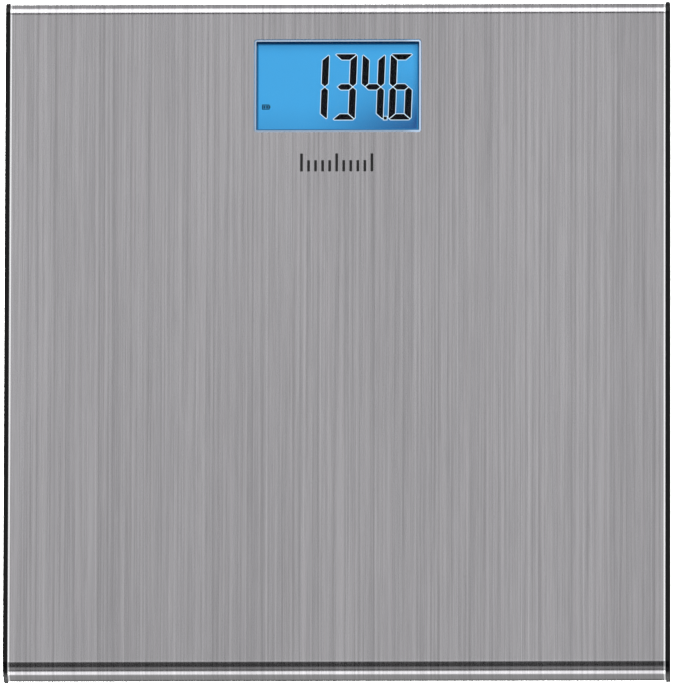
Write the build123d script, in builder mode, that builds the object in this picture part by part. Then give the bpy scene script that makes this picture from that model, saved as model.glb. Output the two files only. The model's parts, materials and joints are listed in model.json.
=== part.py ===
from build123d import *
import math
import os

# Digital bathroom scale: a brushed steel platform between two side caps, a backlit display
# under a clear window, and a moulded base on four feet that each press on a load cell.
# Millimetres. +Z is up, the person stands at -Y and reads the display at +Y, and the
# origin is on the floor under the centre of the platform.

os.makedirs("parts", exist_ok=True)

# ---------------------------------------------------------------- driving sizes
# Whole object
OVERALL_WIDTH = 310.0  # X, over the two side caps
PLATFORM_DEPTH = 320.0  # Y, over the bent steel sheet
OVERALL_HEIGHT = 35.0  # floor to the top of the side caps
BASE_CLEARANCE = 8.0  # floor to the underside of the base

# Steel platform sheet
SHEET = 0.8
BEND_RADIUS = 6.0  # outside of the two top bends
LIP_RADIUS = 2.0  # outside of the bends into the bottom lips
SKIRT_HEIGHT = 21.0  # top of the sheet to the underside of the lips
LIP_LENGTH = 7.0  # how far a lip turns in under the platform
LIP_CUT = 3.2  # height of the cut that parts the two lips

# Side caps
CAP_THICKNESS = 2.2
CAP_PROUD = 0.8  # how far a cap stands out past the sheet
TONGUE_DEPTH = 5.0
TONGUE_WALL = 1.6
TONGUE_GAP = 0.2
PEG_RADIUS = 2.0
PEG_REACH = 9.1  # peg length from the inside of the cap
PEG_GAP = 0.2
PEG_DROP = 10.2  # steel top down to the peg's axis

# Platform carrier, the moulding that backs the sheet
CARRIER_PLATE = 2.5
CARRIER_WALL = 2.2
CARRIER_GAP = 0.3  # to the sheet's skirts
CARRIER_END_GAP = 0.4  # to the caps' tongues
CARRIER_LIFT = 0.2  # above the sheet's lips
RIB = 1.6
RIB_DEPTH = 8.0
RIB_PITCH = 28.0
RIB_GAP = 0.4  # over the battery bay
WELD = 0.5  # how far one feature runs into the next, so that they join

# Display window and what lies under it
WINDOW_WIDTH = 78.0
WINDOW_DEPTH = 44.4
WINDOW_CORNER = 1.4
WINDOW_INSET = 40.3  # back edge of the platform to the window's centre
LENS_GAP = 0.2
LENS_FLANGE = 3.2
LENS_FLANGE_THICKNESS = 1.5
LENS_RECESS = 0.1  # lens face below the steel face
LENS_CHAMFER = 0.4
TAPE_THICKNESS = 0.3
TAPE_WIDTH = 2.5
VIEW_MARGIN = 2.1  # window edge to the edge of the view through the gasket
GASKET_WIDTH = 2.0
GASKET_THICKNESS = 1.0
GLASS_THICKNESS = 1.1
GLASS_MARGIN = 2.9  # view edge to glass edge
GLASS_LEDGE = 3.5  # contact ledge of the front glass, past the rear glass
GUIDE_THICKNESS = 3.0
TRAY_FLOOR = 1.4
TRAY_WALL = 2.0
TRAY_GAP = 0.2
LED_SPACE = 3.0
LED_SIZE = 2.4
LED_LENGTH = 4.8
LED_SPACING = 12.0
LED_COUNT = 3
ZEBRA_WIDTH = 2.0
ZEBRA_SHORTER = 3.9  # how much shorter the strip is than the glass, each end
BOARD_THICKNESS = 1.6
BOARD_WIDER = 21.8  # circuit board beyond the display tray
BOARD_DEEPER = 1.4
BOARD_ZONE = 4.0  # space kept clear of ribs around the board
BOARD_HOLE_INSET_X = 4.0
BOARD_HOLE_INSET_Y = 5.0
BOARD_POST_RADIUS = 3.0
BOARD_HOLE_RADIUS = 1.4
PORT_SIZE = 6.0
PORT_HEIGHT = 5.0
PORT_INSET = 1.0
CHIP_SIZE = 12.0
CHIP_HEIGHT = 1.5
CHIP_PINS = 8  # on each side
CHIP_PIN_PITCH = 1.27
CHIP_PIN_LENGTH = 4.8
CHIP_PIN_WIDTH = 0.7
CHIP_PIN = 0.4
CAPACITOR_RADIUS = 2.5
CAPACITOR_HEIGHT = 2.4
CAPACITOR_PLACES = [(-26.0, 8.0), (-26.0, -4.0), (27.0, 8.0)]  # from the board's centre
CRYSTAL_LENGTH = 10.0
CRYSTAL_WIDTH = 3.6
CRYSTAL_CORNER = 1.7
CRYSTAL_HEIGHT = 2.0
CRYSTAL_PLACES = [(0.0, 17.0), (27.0, -4.0)]
RESISTOR_LENGTH = 2.0
RESISTOR_WIDTH = 1.2
RESISTOR_HEIGHT = 0.6
RESISTOR_PITCH = 4.0
RESISTORS_ACROSS = 3
RESISTORS_ALONG = 2
RESISTOR_PLACES = [(-16.0, 16.0), (16.0, 16.0)]  # centre of each group

# Load cells
CELL_HEIGHT = 18.0  # floor to the underside of a load cell
CELL_SIZE = 34.0
CELL_THICKNESS = 2.5
CELL_CORNER = 3.0
CELL_NEST_GAP = 0.2
CELL_LEDGE = 3.0  # width of the nest's shelf that the cell bears on
SLOT_OUTER_WIDTH = 18.0
SLOT_OUTER_DEPTH = 24.0
SLOT = 2.0
BLOCK_WIDER = 20.0  # cell block beyond the cell, along X
BLOCK_DEEPER = 4.0  # cell block beyond the cell, along Y
BLOCK_CORNER = 2.0
BRACKET_THICKNESS = 2.4
BRACKET_OPENING_GROWTH = 2.0  # bracket opening beyond the cell's slot
POTTING_WIDTH = 10.0
POTTING_DEPTH = 5.0
POTTING_HEIGHT = 1.2
POTTING_OFFSET = 8.0

# Feet
FOOT_INSET = 42.0  # platform edge to a foot's centre, both ways
FOOT_RADIUS = 21.0
FOOT_WALL = 2.0
FOOT_FLOOR = 2.0
FOOT_BASE = 2.0  # floor to the underside of the cup
FOOT_FLANGE = 2.5
FOOT_FLANGE_THICKNESS = 1.6
FOOT_TRAVEL = 0.6
FOOT_GAP = 0.5
FOOT_EDGE = 1.0
HUB_RADIUS = 5.0
HUB_RIB = 1.5
HUB_RIBS = 6
PAD_RADIUS = 18.0
PAD_GAP = 0.2
PAD_SEAT = 1.0
PAD_CHAMFER = 0.6
TREAD_DEPTH = 0.8
TREAD_WIDTH = 1.2
TREAD_PITCH = 5.0
TREAD_RINGS = 2

# Base cover
BASE_INSET = 4.5  # from the outline of the platform, both ways
BASE_PLATE = 2.2
BASE_RIM = 2.0
BASE_RIM_GAP = 0.2
BASE_CORNER = 8.0
BASE_FILLET = 2.0
LOCATING_GAP = 0.4
LOCATING_WALL = 1.6
LOCATING_HEIGHT = 4.8
COLLAR_GAP = 1.0
COLLAR_WALL = 1.6
COLLAR_HEIGHT = 3.2
WELL_RADIUS = 4.5
WELL_HEIGHT = 12.0
WELL_SEAT = 2.0
LABEL_WIDTH = 70.0
LABEL_DEPTH = 40.0
LABEL_RECESS = 0.4
LABEL_Y = -60.0

# Screws
SCREW_RADIUS = 1.3
SCREW_HEAD_RADIUS = 2.7
SCREW_HEAD = 1.8
SCREW_LENGTH = 10.0
SCREW_PILOT_GAP = 0.05
SCREW_HOLE_GAP = 0.3
SCREW_HEAD_GAP = 0.5
SCREW_SPARE = 0.5  # pilot hole beyond the screw's tip
SCREW_EDGE = 0.5
RECESS_LENGTH = 2.8
RECESS_WIDTH = 0.7
RECESS_DEPTH = 0.9
BOSS_RADIUS = 4.0
SMALL_SCREW_RADIUS = 1.0
SMALL_SCREW_HEAD_RADIUS = 1.9
SMALL_SCREW_HEAD = 1.3
SMALL_SCREW_LENGTH = 4.5
CORNER_SCREW_X = 70.0
CORNER_SCREW_INSET = 18.0
SIDE_SCREW_INSET = 21.0
SIDE_SCREW_Y = 40.0

# Batteries and their bay
BATTERY_RADIUS = 5.25
BATTERY_LENGTH = 44.5
BATTERY_COUNT = 3
BATTERY_SPACE = 0.5  # between two batteries
BATTERY_NUB = 0.8
BATTERY_NUB_RADIUS = 1.9
BATTERY_EDGE = 0.4
BAY_OFFSET = 75.0  # display window's centre to the middle battery
BAY_SPRING_SPACE = 3.9
BAY_FRONT_SPACE = 3.6
BAY_BACK_SPACE = 5.0
BAY_HEADROOM = 0.3
BAY_WALL = 1.5
BAY_RIDGE = 1.0
BAY_RIDGE_DEPTH = 1.6
CONTACT = 0.4
CONTACT_WIDTH = 8.0
CONTACT_HEIGHT = 8.8
SPRING_RADIUS = 3.2
SPRING_WIRE = 0.3
SPRING_TURNS = 3

# Battery door
DOOR_GAP = 0.4
DOOR_THICKNESS = 1.8
DOOR_BARREL_RADIUS = 2.0
DOOR_PIN_RADIUS = 1.0
DOOR_PIN_GAP = 0.1
DOOR_PIN_REACH = 1.7
DOOR_LEDGE = 1.0
DOOR_LEDGE_HEIGHT = 1.5
DOOR_LEDGE_GAP = 0.1
HINGE_BLOCK = 2.5
HINGE_BLOCK_DEPTH = 7.0
HINGE_BLOCK_HEIGHT = 2.8
LATCH_WIDTH = 10.0
LATCH_THICKNESS = 1.2
LATCH_HEIGHT = 4.0
SCOOP_RADIUS = 7.0
SCOOP_DEPTH = 1.2
GRIP_GROOVES = 3
GRIP_LENGTH = 20.0
GRIP_WIDTH = 1.2
GRIP_DEPTH = 0.6
GRIP_PITCH = 2.4
GRIP_INSET = 10.0  # front edge of the door to the middle groove

# Unit button and its switch
BUTTON_OFFSET = 26.0  # side of the battery bay to the button's axis
BUTTON_RADIUS = 4.5
BUTTON_RECESS = 0.4
BUTTON_GAP = 0.3
BUTTON_EDGE = 0.5
BUTTON_FLANGE = 1.5
BUTTON_FLANGE_THICKNESS = 1.1
BUTTON_FLANGE_GAP = 0.1
BUTTON_STEM_RADIUS = 2.0
BUTTON_STEM = 1.2
BUTTON_TRAVEL = 0.8
BUTTON_REST_GAP = 0.2
GUIDE_RING_WALL = 1.4
GUIDE_RING_HEIGHT = 2.2
PLUNGER_RADIUS = 1.7
PLUNGER_LENGTH = 1.8
SWITCH_SIZE = 6.0
SWITCH_HEIGHT = 3.6
SWITCH_BORE_GAP = 0.2
SWITCH_BOARD_WIDTH = 22.0
SWITCH_BOARD_DEPTH = 12.0
SWITCH_BOARD = 1.2
SWITCH_POST_X = 8.5
SWITCH_POST_RADIUS = 2.2
SWITCH_PORT_WIDTH = 4.0
SWITCH_PORT_DEPTH = 3.0
SWITCH_PORT_HEIGHT = 2.2

# Leads inside the platform
LEAD_RADIUS = 1.0
THIN_LEAD_RADIUS = 0.8
LEAD_NOTCH = 3.0
LEAD_HOLE_GAP = 0.2
CLIP_RADIUS = 1.0
CLIP_GAP = 0.3
CLIP_DROP = 1.7  # clip pins below a lead's axis
CLIP_RUN = 24.0  # a run at least this long has a pair of clip pins
RUN_SHARE = 0.45  # share of the shorter run that a bend uses
BACK_PORT_X = 43.0
FRONT_PORT_X = 30.0
SWITCH_PORT_X = 18.0
BATTERY_PORT_X = 8.0

# ---------------------------------------------------------------- sizes that follow
# Heights, from the top down
steel_top = OVERALL_HEIGHT - CAP_PROUD
steel_inside = steel_top - SHEET
lip_bottom = steel_top - SKIRT_HEIGHT
carrier_bottom = lip_bottom + SHEET + CARRIER_LIFT
plate_bottom = steel_inside - CARRIER_PLATE
rib_bottom = plate_bottom - RIB_DEPTH
peg_height = steel_top - PEG_DROP
flange_top = steel_inside - TAPE_THICKNESS
flange_bottom = flange_top - LENS_FLANGE_THICKNESS
front_glass_top = flange_bottom - GASKET_THICKNESS
front_glass_bottom = front_glass_top - GLASS_THICKNESS
rear_glass_bottom = front_glass_bottom - GLASS_THICKNESS
guide_bottom = rear_glass_bottom - GUIDE_THICKNESS
board_top = guide_bottom - TRAY_FLOOR
board_bottom = board_top - BOARD_THICKNESS

# Heights, from the floor up
base_bottom = BASE_CLEARANCE
base_top = base_bottom + BASE_PLATE
rim_top = lip_bottom - BASE_RIM_GAP
well_top = base_bottom + WELL_HEIGHT
well_seat = well_top - WELL_SEAT
cell_bottom = CELL_HEIGHT
cell_top = cell_bottom + CELL_THICKNESS
bracket_bottom = cell_bottom - BRACKET_THICKNESS
lead_height = cell_bottom + CELL_THICKNESS / 2
battery_height = base_top + BATTERY_RADIUS
bay_ceiling = base_top + 2 * BATTERY_RADIUS + BAY_HEADROOM
bay_top = bay_ceiling + BAY_WALL

# Outlines
steel_width = OVERALL_WIDTH - 2 * CAP_THICKNESS
tongue_inset = SHEET + TONGUE_GAP
carrier_width = steel_width - 2 * (TONGUE_DEPTH + CARRIER_END_GAP)
carrier_depth = PLATFORM_DEPTH - 2 * (SHEET + CARRIER_GAP)
carrier_corner = BEND_RADIUS - SHEET + CARRIER_LIFT
carrier_edge = LIP_RADIUS - SHEET + CARRIER_LIFT
carrier_inner_width = carrier_width - 2 * CARRIER_WALL
carrier_inner_depth = carrier_depth - 2 * CARRIER_WALL
lip_opening = PLATFORM_DEPTH - 2 * LIP_LENGTH
ribs_across = 2 * int((carrier_inner_width / 2 - RIB_PITCH / 4) // RIB_PITCH) + 1
ribs_along = 2 * int((carrier_inner_depth / 2 - RIB_PITCH / 4) // RIB_PITCH) + 1
peg_places = [(side * step * RIB_PITCH, peg_height) for side in (-1, 1) for step in (1.5, 3.5)]
base_width = OVERALL_WIDTH - 2 * BASE_INSET
base_depth = PLATFORM_DEPTH - 2 * BASE_INSET
locating_width = carrier_inner_width - 2 * LOCATING_GAP
locating_depth = lip_opening - 2 * LOCATING_GAP

# Display stack, centred on the window
window_y = PLATFORM_DEPTH / 2 - WINDOW_INSET
boss_width = WINDOW_WIDTH - 2 * LENS_GAP
boss_depth = WINDOW_DEPTH - 2 * LENS_GAP
flange_width = boss_width + 2 * LENS_FLANGE
flange_depth = boss_depth + 2 * LENS_FLANGE
view_width = WINDOW_WIDTH - 2 * VIEW_MARGIN
view_depth = WINDOW_DEPTH - 2 * VIEW_MARGIN
glass_width = view_width + 2 * GLASS_MARGIN
rear_glass_depth = view_depth + 2 * GLASS_MARGIN
front_glass_depth = rear_glass_depth + GLASS_LEDGE
front_glass_y = window_y + GLASS_LEDGE / 2
tray_inner_width = glass_width + 2 * TRAY_GAP
tray_inner_depth = front_glass_depth + 2 * TRAY_GAP
tray_width = tray_inner_width + 2 * TRAY_WALL
tray_depth = tray_inner_depth + 2 * TRAY_WALL
zebra_y = window_y + rear_glass_depth / 2 + GLASS_LEDGE / 2
zebra_length = glass_width - 2 * ZEBRA_SHORTER
board_width = tray_width + BOARD_WIDER
board_depth = tray_depth + BOARD_DEEPER
board_front = window_y - board_depth / 2
port_mouth = board_front + PORT_INSET
board_hole_x = board_width / 2 - BOARD_HOLE_INSET_X
board_hole_y = board_depth / 2 - BOARD_HOLE_INSET_Y
board_screw_places = [
    (side * board_hole_x, window_y + end * board_hole_y) for side in (-1, 1) for end in (-1, 1)
]

# Feet and load cells
foot_x = OVERALL_WIDTH / 2 - FOOT_INSET
foot_y = PLATFORM_DEPTH / 2 - FOOT_INSET
corners = {
    "front_left": (-1, -1),
    "front_right": (1, -1),
    "back_left": (-1, 1),
    "back_right": (1, 1),
}
flange_radius = FOOT_RADIUS + FOOT_FLANGE
foot_flange_bottom = base_top + FOOT_TRAVEL
foot_flange_top = foot_flange_bottom + FOOT_FLANGE_THICKNESS
collar_inner = flange_radius + COLLAR_GAP
pad_top = FOOT_BASE + PAD_SEAT
cup_floor_top = pad_top + FOOT_FLOOR
nest_size = CELL_SIZE + 2 * CELL_NEST_GAP
cavity_size = CELL_SIZE - 2 * CELL_LEDGE
block_width = CELL_SIZE + BLOCK_WIDER
block_depth = CELL_SIZE + BLOCK_DEEPER
bracket_screw_x = (CELL_SIZE / 2 + block_width / 2) / 2 + SCREW_HOLE_GAP
cell_edge_y = foot_y - CELL_SIZE / 2
bracket_screw_places = [
    (side * foot_x + step * bracket_screw_x, end * foot_y)
    for side, end in corners.values()
    for step in (-1, 1)
]
side_screw_x = OVERALL_WIDTH / 2 - SIDE_SCREW_INSET
corner_screw_y = PLATFORM_DEPTH / 2 - CORNER_SCREW_INSET
base_screw_places = [
    (side * x, end * y)
    for x, y in ((CORNER_SCREW_X, corner_screw_y), (side_screw_x, SIDE_SCREW_Y))
    for side in (-1, 1)
    for end in (-1, 1)
]
pilot_radius = SCREW_RADIUS + SCREW_PILOT_GAP
screw_hole_radius = SCREW_RADIUS + SCREW_HOLE_GAP
small_pilot_radius = SMALL_SCREW_RADIUS + SCREW_PILOT_GAP

# Battery bay
battery_y = window_y - BAY_OFFSET
battery_pitch = 2 * BATTERY_RADIUS + BATTERY_SPACE
battery_places = [
    battery_y + (index - (BATTERY_COUNT - 1) / 2) * battery_pitch for index in range(BATTERY_COUNT)
]
battery_stack = (BATTERY_COUNT - 1) * battery_pitch / 2 + BATTERY_RADIUS
bay_front = battery_y - battery_stack - BAY_FRONT_SPACE
bay_back = battery_y + battery_stack + BAY_BACK_SPACE
bay_depth = bay_back - bay_front
bay_middle = (bay_back + bay_front) / 2
bay_width = BATTERY_LENGTH + BAY_SPRING_SPACE + 2 * CONTACT
battery_shift = BAY_SPRING_SPACE / 2
contact_top = battery_height + BATTERY_RADIUS - DOOR_LEDGE_GAP
contact_middle = contact_top - CONTACT_HEIGHT / 2
door_width = bay_width - 2 * DOOR_GAP
hinge_y = bay_back - DOOR_GAP - DOOR_BARREL_RADIUS
hinge_height = base_bottom + DOOR_BARREL_RADIUS
door_front = bay_front + DOOR_GAP
door_top = base_bottom + DOOR_THICKNESS
ledge_bottom = door_top + DOOR_LEDGE_GAP
ledge_depth = hinge_y - 2 * DOOR_BARREL_RADIUS - bay_front
socket_radius = DOOR_PIN_RADIUS + DOOR_PIN_GAP

# Unit button
button_x = bay_width / 2 + BUTTON_OFFSET
button_y = battery_y
button_face = base_bottom + BUTTON_RECESS
button_flange_bottom = base_top + BUTTON_FLANGE_GAP
button_flange_top = button_flange_bottom + BUTTON_FLANGE_THICKNESS
button_flange_radius = BUTTON_RADIUS + BUTTON_FLANGE
stem_top = button_flange_top + BUTTON_STEM
plunger_top = stem_top + PLUNGER_LENGTH
switch_bottom = stem_top + BUTTON_TRAVEL + BUTTON_REST_GAP
switch_top = switch_bottom + SWITCH_HEIGHT
switch_bore_radius = PLUNGER_RADIUS + SWITCH_BORE_GAP
switch_bore_top = plunger_top + BUTTON_TRAVEL + BUTTON_REST_GAP
switch_board_top = switch_top + SWITCH_BOARD
switch_port_y = button_y + SWITCH_BOARD_DEPTH / 2 - SWITCH_PORT_DEPTH / 2

# ---------------------------------------------------------------- lead routes
# Each route is seen from above, from the piece that it leaves to its port on the board.
back_cell_route = [
    (foot_x, cell_edge_y),
    (foot_x, 87),
    (100, 76),
    (79, 72),
    (60, 74),
    (47, 80),
    (BACK_PORT_X, 87),
    (BACK_PORT_X, port_mouth),
]
front_cell_route = [
    (foot_x, -cell_edge_y),
    (foot_x, -83),
    (105, -52),
    (90, -16),
    (81, 18),
    (69, 46),
    (57, 67),
    (41, 78),
    (FRONT_PORT_X, 86),
    (FRONT_PORT_X, port_mouth),
]
positive_route = [
    (-bay_width / 2, battery_places[0]),
    (-33, battery_places[0]),
    (-39, 41),
    (-37, 56),
    (-27, 71),
    (-13, 76),
    (-BATTERY_PORT_X, 84),
    (-BATTERY_PORT_X, port_mouth),
]
negative_route = [
    (bay_width / 2, battery_places[-1]),
    (33, battery_places[-1]),
    (36.5, 63.5),
    (30, 71.5),
    (14, 75),
    (BATTERY_PORT_X, 84),
    (BATTERY_PORT_X, port_mouth),
]
switch_route = [
    (button_x, switch_port_y + SWITCH_PORT_DEPTH / 2),
    (button_x, 59),
    (43, 68),
    (28, 77),
    (SWITCH_PORT_X, 85),
    (SWITCH_PORT_X, port_mouth),
]


def mirrored(route):
    """The same route on the other side of the scale."""
    return [(-x, y) for x, y in route]


cell_routes = {
    "front_left": mirrored(front_cell_route),
    "front_right": front_cell_route,
    "back_left": mirrored(back_cell_route),
    "back_right": back_cell_route,
}


def bend_radii(route):
    """The largest bend that the two runs beside each corner leave room for."""
    radii = []
    for before, corner, after in zip(route, route[1:], route[2:]):
        run_in = Vector(*corner) - Vector(*before)
        run_out = Vector(*after) - Vector(*corner)
        half_turn = math.radians(run_in.get_angle(run_out) / 2)
        shorter = min(run_in.length, run_out.length)
        radii.append(RUN_SHARE * shorter / math.tan(half_turn))
    return radii


def clip_places(route):
    """A pin on each side of a lead, at the middle of its long runs."""
    places = []
    reach = LEAD_RADIUS + CLIP_GAP + CLIP_RADIUS
    for start, end in zip(route, route[1:]):
        run = Vector(*end) - Vector(*start)
        if run.length < CLIP_RUN:
            continue
        middle = (Vector(*start) + Vector(*end)) / 2
        sideways = run.normalized().rotate(Axis.Z, 90) * reach
        places.append(tuple(middle + sideways)[:2])
        places.append(tuple(middle - sideways)[:2])
    return places


clip_pins = [place for route in cell_routes.values() for place in clip_places(route)]


def fill_outline(half_depth, bottom, top, bottom_radius, top_radius, mode=Mode.ADD):
    """Fill a box outline with rounded corners, seen along X, in the sketch being built."""
    with BuildLine() as outline:
        FilletPolyline(
            (-half_depth, bottom),
            (half_depth, bottom),
            (half_depth, top),
            (-half_depth, top),
            radius=[bottom_radius, bottom_radius, top_radius, top_radius],
            close=True,
        )
    make_face(outline.edges(), mode=mode)


def fill_sheet_outline(inset, mode=Mode.ADD):
    """Fill the bent sheet's outline, moved inward by a distance, in the sketch being built."""
    fill_outline(
        PLATFORM_DEPTH / 2 - inset,
        lip_bottom + inset,
        steel_top - inset,
        max(LIP_RADIUS - inset, WELD),
        BEND_RADIUS - inset,
        mode=mode,
    )


# ---------------------------------------------------------------- platform skin
# One sheet of steel, bent down at the back and the front and turned in at the bottom.
with BuildPart() as platform_skin:
    with BuildSketch(Plane.YZ.offset(-steel_width / 2)):
        fill_sheet_outline(0)
        fill_sheet_outline(SHEET, mode=Mode.SUBTRACT)
        with Locations((0, lip_bottom)):
            Rectangle(lip_opening, LIP_CUT, mode=Mode.SUBTRACT)
    extrude(amount=steel_width)
    with BuildSketch(Plane.XY.offset(steel_inside - WELD)):
        with Locations((0, window_y)):
            RectangleRounded(WINDOW_WIDTH, WINDOW_DEPTH, WINDOW_CORNER)
    extrude(amount=SHEET + 2 * WELD, mode=Mode.SUBTRACT)
platform_skin.part.label = "platform_skin"
export_step(platform_skin.part, "parts/platform_skin.step")

# ---------------------------------------------------------------- side caps
# Each cap closes one end of the bent sheet. A tongue fits inside the sheet, and four pegs
# go through the carrier's end wall.
for cap_name, side in (("side_cap_left", -1), ("side_cap_right", 1)):
    inner_face = side * steel_width / 2
    with BuildPart() as side_cap:
        with BuildSketch(Plane.YZ.offset(inner_face)):
            fill_sheet_outline(-CAP_PROUD)
        extrude(amount=side * CAP_THICKNESS)
        outer_edges = side_cap.faces().sort_by(Axis.X)[-1 if side > 0 else 0].edges()
        fillet(outer_edges, CAP_PROUD)
        with BuildSketch(Plane.YZ.offset(inner_face)):
            fill_sheet_outline(tongue_inset)
            fill_sheet_outline(tongue_inset + TONGUE_WALL, mode=Mode.SUBTRACT)
        extrude(amount=-side * TONGUE_DEPTH)
        with BuildSketch(Plane.YZ.offset(inner_face)):
            with Locations(*peg_places):
                Circle(PEG_RADIUS)
        extrude(amount=-side * PEG_REACH)
    side_cap.part.label = cap_name
    export_step(side_cap.part, f"parts/{cap_name}.step")

# ---------------------------------------------------------------- platform carrier
# A ribbed moulding that backs the whole sheet and holds the cells, the display and the leads.
with BuildPart() as platform_carrier:
    with BuildSketch(Plane.YZ.offset(-carrier_width / 2)):
        fill_outline(carrier_depth / 2, carrier_bottom, steel_inside, carrier_edge, carrier_corner)
    extrude(amount=carrier_width)
    with BuildSketch(Plane.YZ.offset(-carrier_inner_width / 2)):
        fill_outline(
            carrier_inner_depth / 2,
            carrier_bottom - WELD,
            plate_bottom,
            0,
            carrier_corner - CARRIER_WALL,
        )
    extrude(amount=carrier_inner_width, mode=Mode.SUBTRACT)
    with BuildSketch(Plane.XY.offset(rib_bottom)):
        with GridLocations(RIB_PITCH, RIB_PITCH, ribs_across, 1):
            Rectangle(RIB, carrier_inner_depth + 2 * WELD)
        with GridLocations(RIB_PITCH, RIB_PITCH, 1, ribs_along):
            Rectangle(carrier_inner_width + 2 * WELD, RIB)
        with Locations((0, window_y)):
            Rectangle(board_width + BOARD_ZONE, board_depth + 2 * BOARD_ZONE, mode=Mode.SUBTRACT)
    extrude(amount=RIB_DEPTH + WELD)
    with BuildSketch(Plane.XY.offset(bay_top + RIB_GAP)):
        with Locations((0, bay_middle)):
            Rectangle(bay_width + 4 * BAY_WALL, bay_depth + 4 * BAY_WALL)
    extrude(amount=-RIB_DEPTH, mode=Mode.SUBTRACT)
    with BuildSketch(Plane.XY.offset(cell_bottom)):
        with GridLocations(2 * foot_x, 2 * foot_y, 2, 2):
            RectangleRounded(block_width, block_depth, BLOCK_CORNER)
    extrude(amount=plate_bottom - cell_bottom + WELD)
    with BuildSketch(Plane.XY.offset(well_top)):
        with Locations(*base_screw_places):
            Circle(BOSS_RADIUS)
    extrude(amount=plate_bottom - well_top + WELD)
    with BuildSketch(Plane.XY.offset(board_top)):
        with Locations(*board_screw_places):
            Circle(BOARD_POST_RADIUS)
    extrude(amount=plate_bottom - board_top + WELD)
    with BuildSketch(Plane.XY.offset(lead_height - CLIP_DROP)):
        with Locations(*clip_pins):
            Circle(CLIP_RADIUS)
    extrude(amount=plate_bottom - lead_height + CLIP_DROP + WELD)
    # Nests for the cells, with a cavity over each so that its tongue can bend
    with BuildSketch(Plane.XY.offset(cell_bottom)):
        with GridLocations(2 * foot_x, 2 * foot_y, 2, 2):
            Rectangle(nest_size, nest_size)
        with GridLocations(2 * foot_x, 2 * (foot_y - block_depth / 2), 2, 2):
            Rectangle(LEAD_NOTCH, 2 * BLOCK_DEEPER)
    extrude(amount=CELL_THICKNESS, mode=Mode.SUBTRACT)
    with BuildSketch(Plane.XY.offset(cell_top)):
        with GridLocations(2 * foot_x, 2 * foot_y, 2, 2):
            Rectangle(cavity_size, cavity_size)
    extrude(amount=plate_bottom - cell_top, mode=Mode.SUBTRACT)
    # Pilot holes
    with BuildSketch(Plane.XY.offset(cell_bottom)):
        with Locations(*bracket_screw_places):
            Circle(pilot_radius)
    extrude(amount=SCREW_LENGTH - BRACKET_THICKNESS + SCREW_SPARE, mode=Mode.SUBTRACT)
    with BuildSketch(Plane.XY.offset(well_top)):
        with Locations(*base_screw_places):
            Circle(pilot_radius)
    extrude(amount=SCREW_LENGTH - WELL_SEAT + SCREW_SPARE, mode=Mode.SUBTRACT)
    with BuildSketch(Plane.XY.offset(board_top)):
        with Locations(*board_screw_places):
            Circle(small_pilot_radius)
    extrude(amount=SMALL_SCREW_LENGTH - BOARD_THICKNESS + SCREW_SPARE, mode=Mode.SUBTRACT)
    # Display pocket, and the holes for the caps' pegs
    with BuildSketch(Plane.XY.offset(plate_bottom - WELD)):
        with Locations((0, window_y)):
            Rectangle(flange_width + 4 * LENS_GAP, flange_depth + 4 * LENS_GAP)
    extrude(amount=CARRIER_PLATE + 2 * WELD, mode=Mode.SUBTRACT)
    for side in (-1, 1):
        with BuildSketch(Plane.YZ.offset(side * (carrier_width - CARRIER_WALL) / 2)):
            with Locations(*peg_places):
                Circle(PEG_RADIUS + PEG_GAP)
        extrude(amount=CARRIER_WALL / 2 + WELD, both=True, mode=Mode.SUBTRACT)
platform_carrier.part.label = "platform_carrier"
export_step(platform_carrier.part, "parts/platform_carrier.step")

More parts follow.
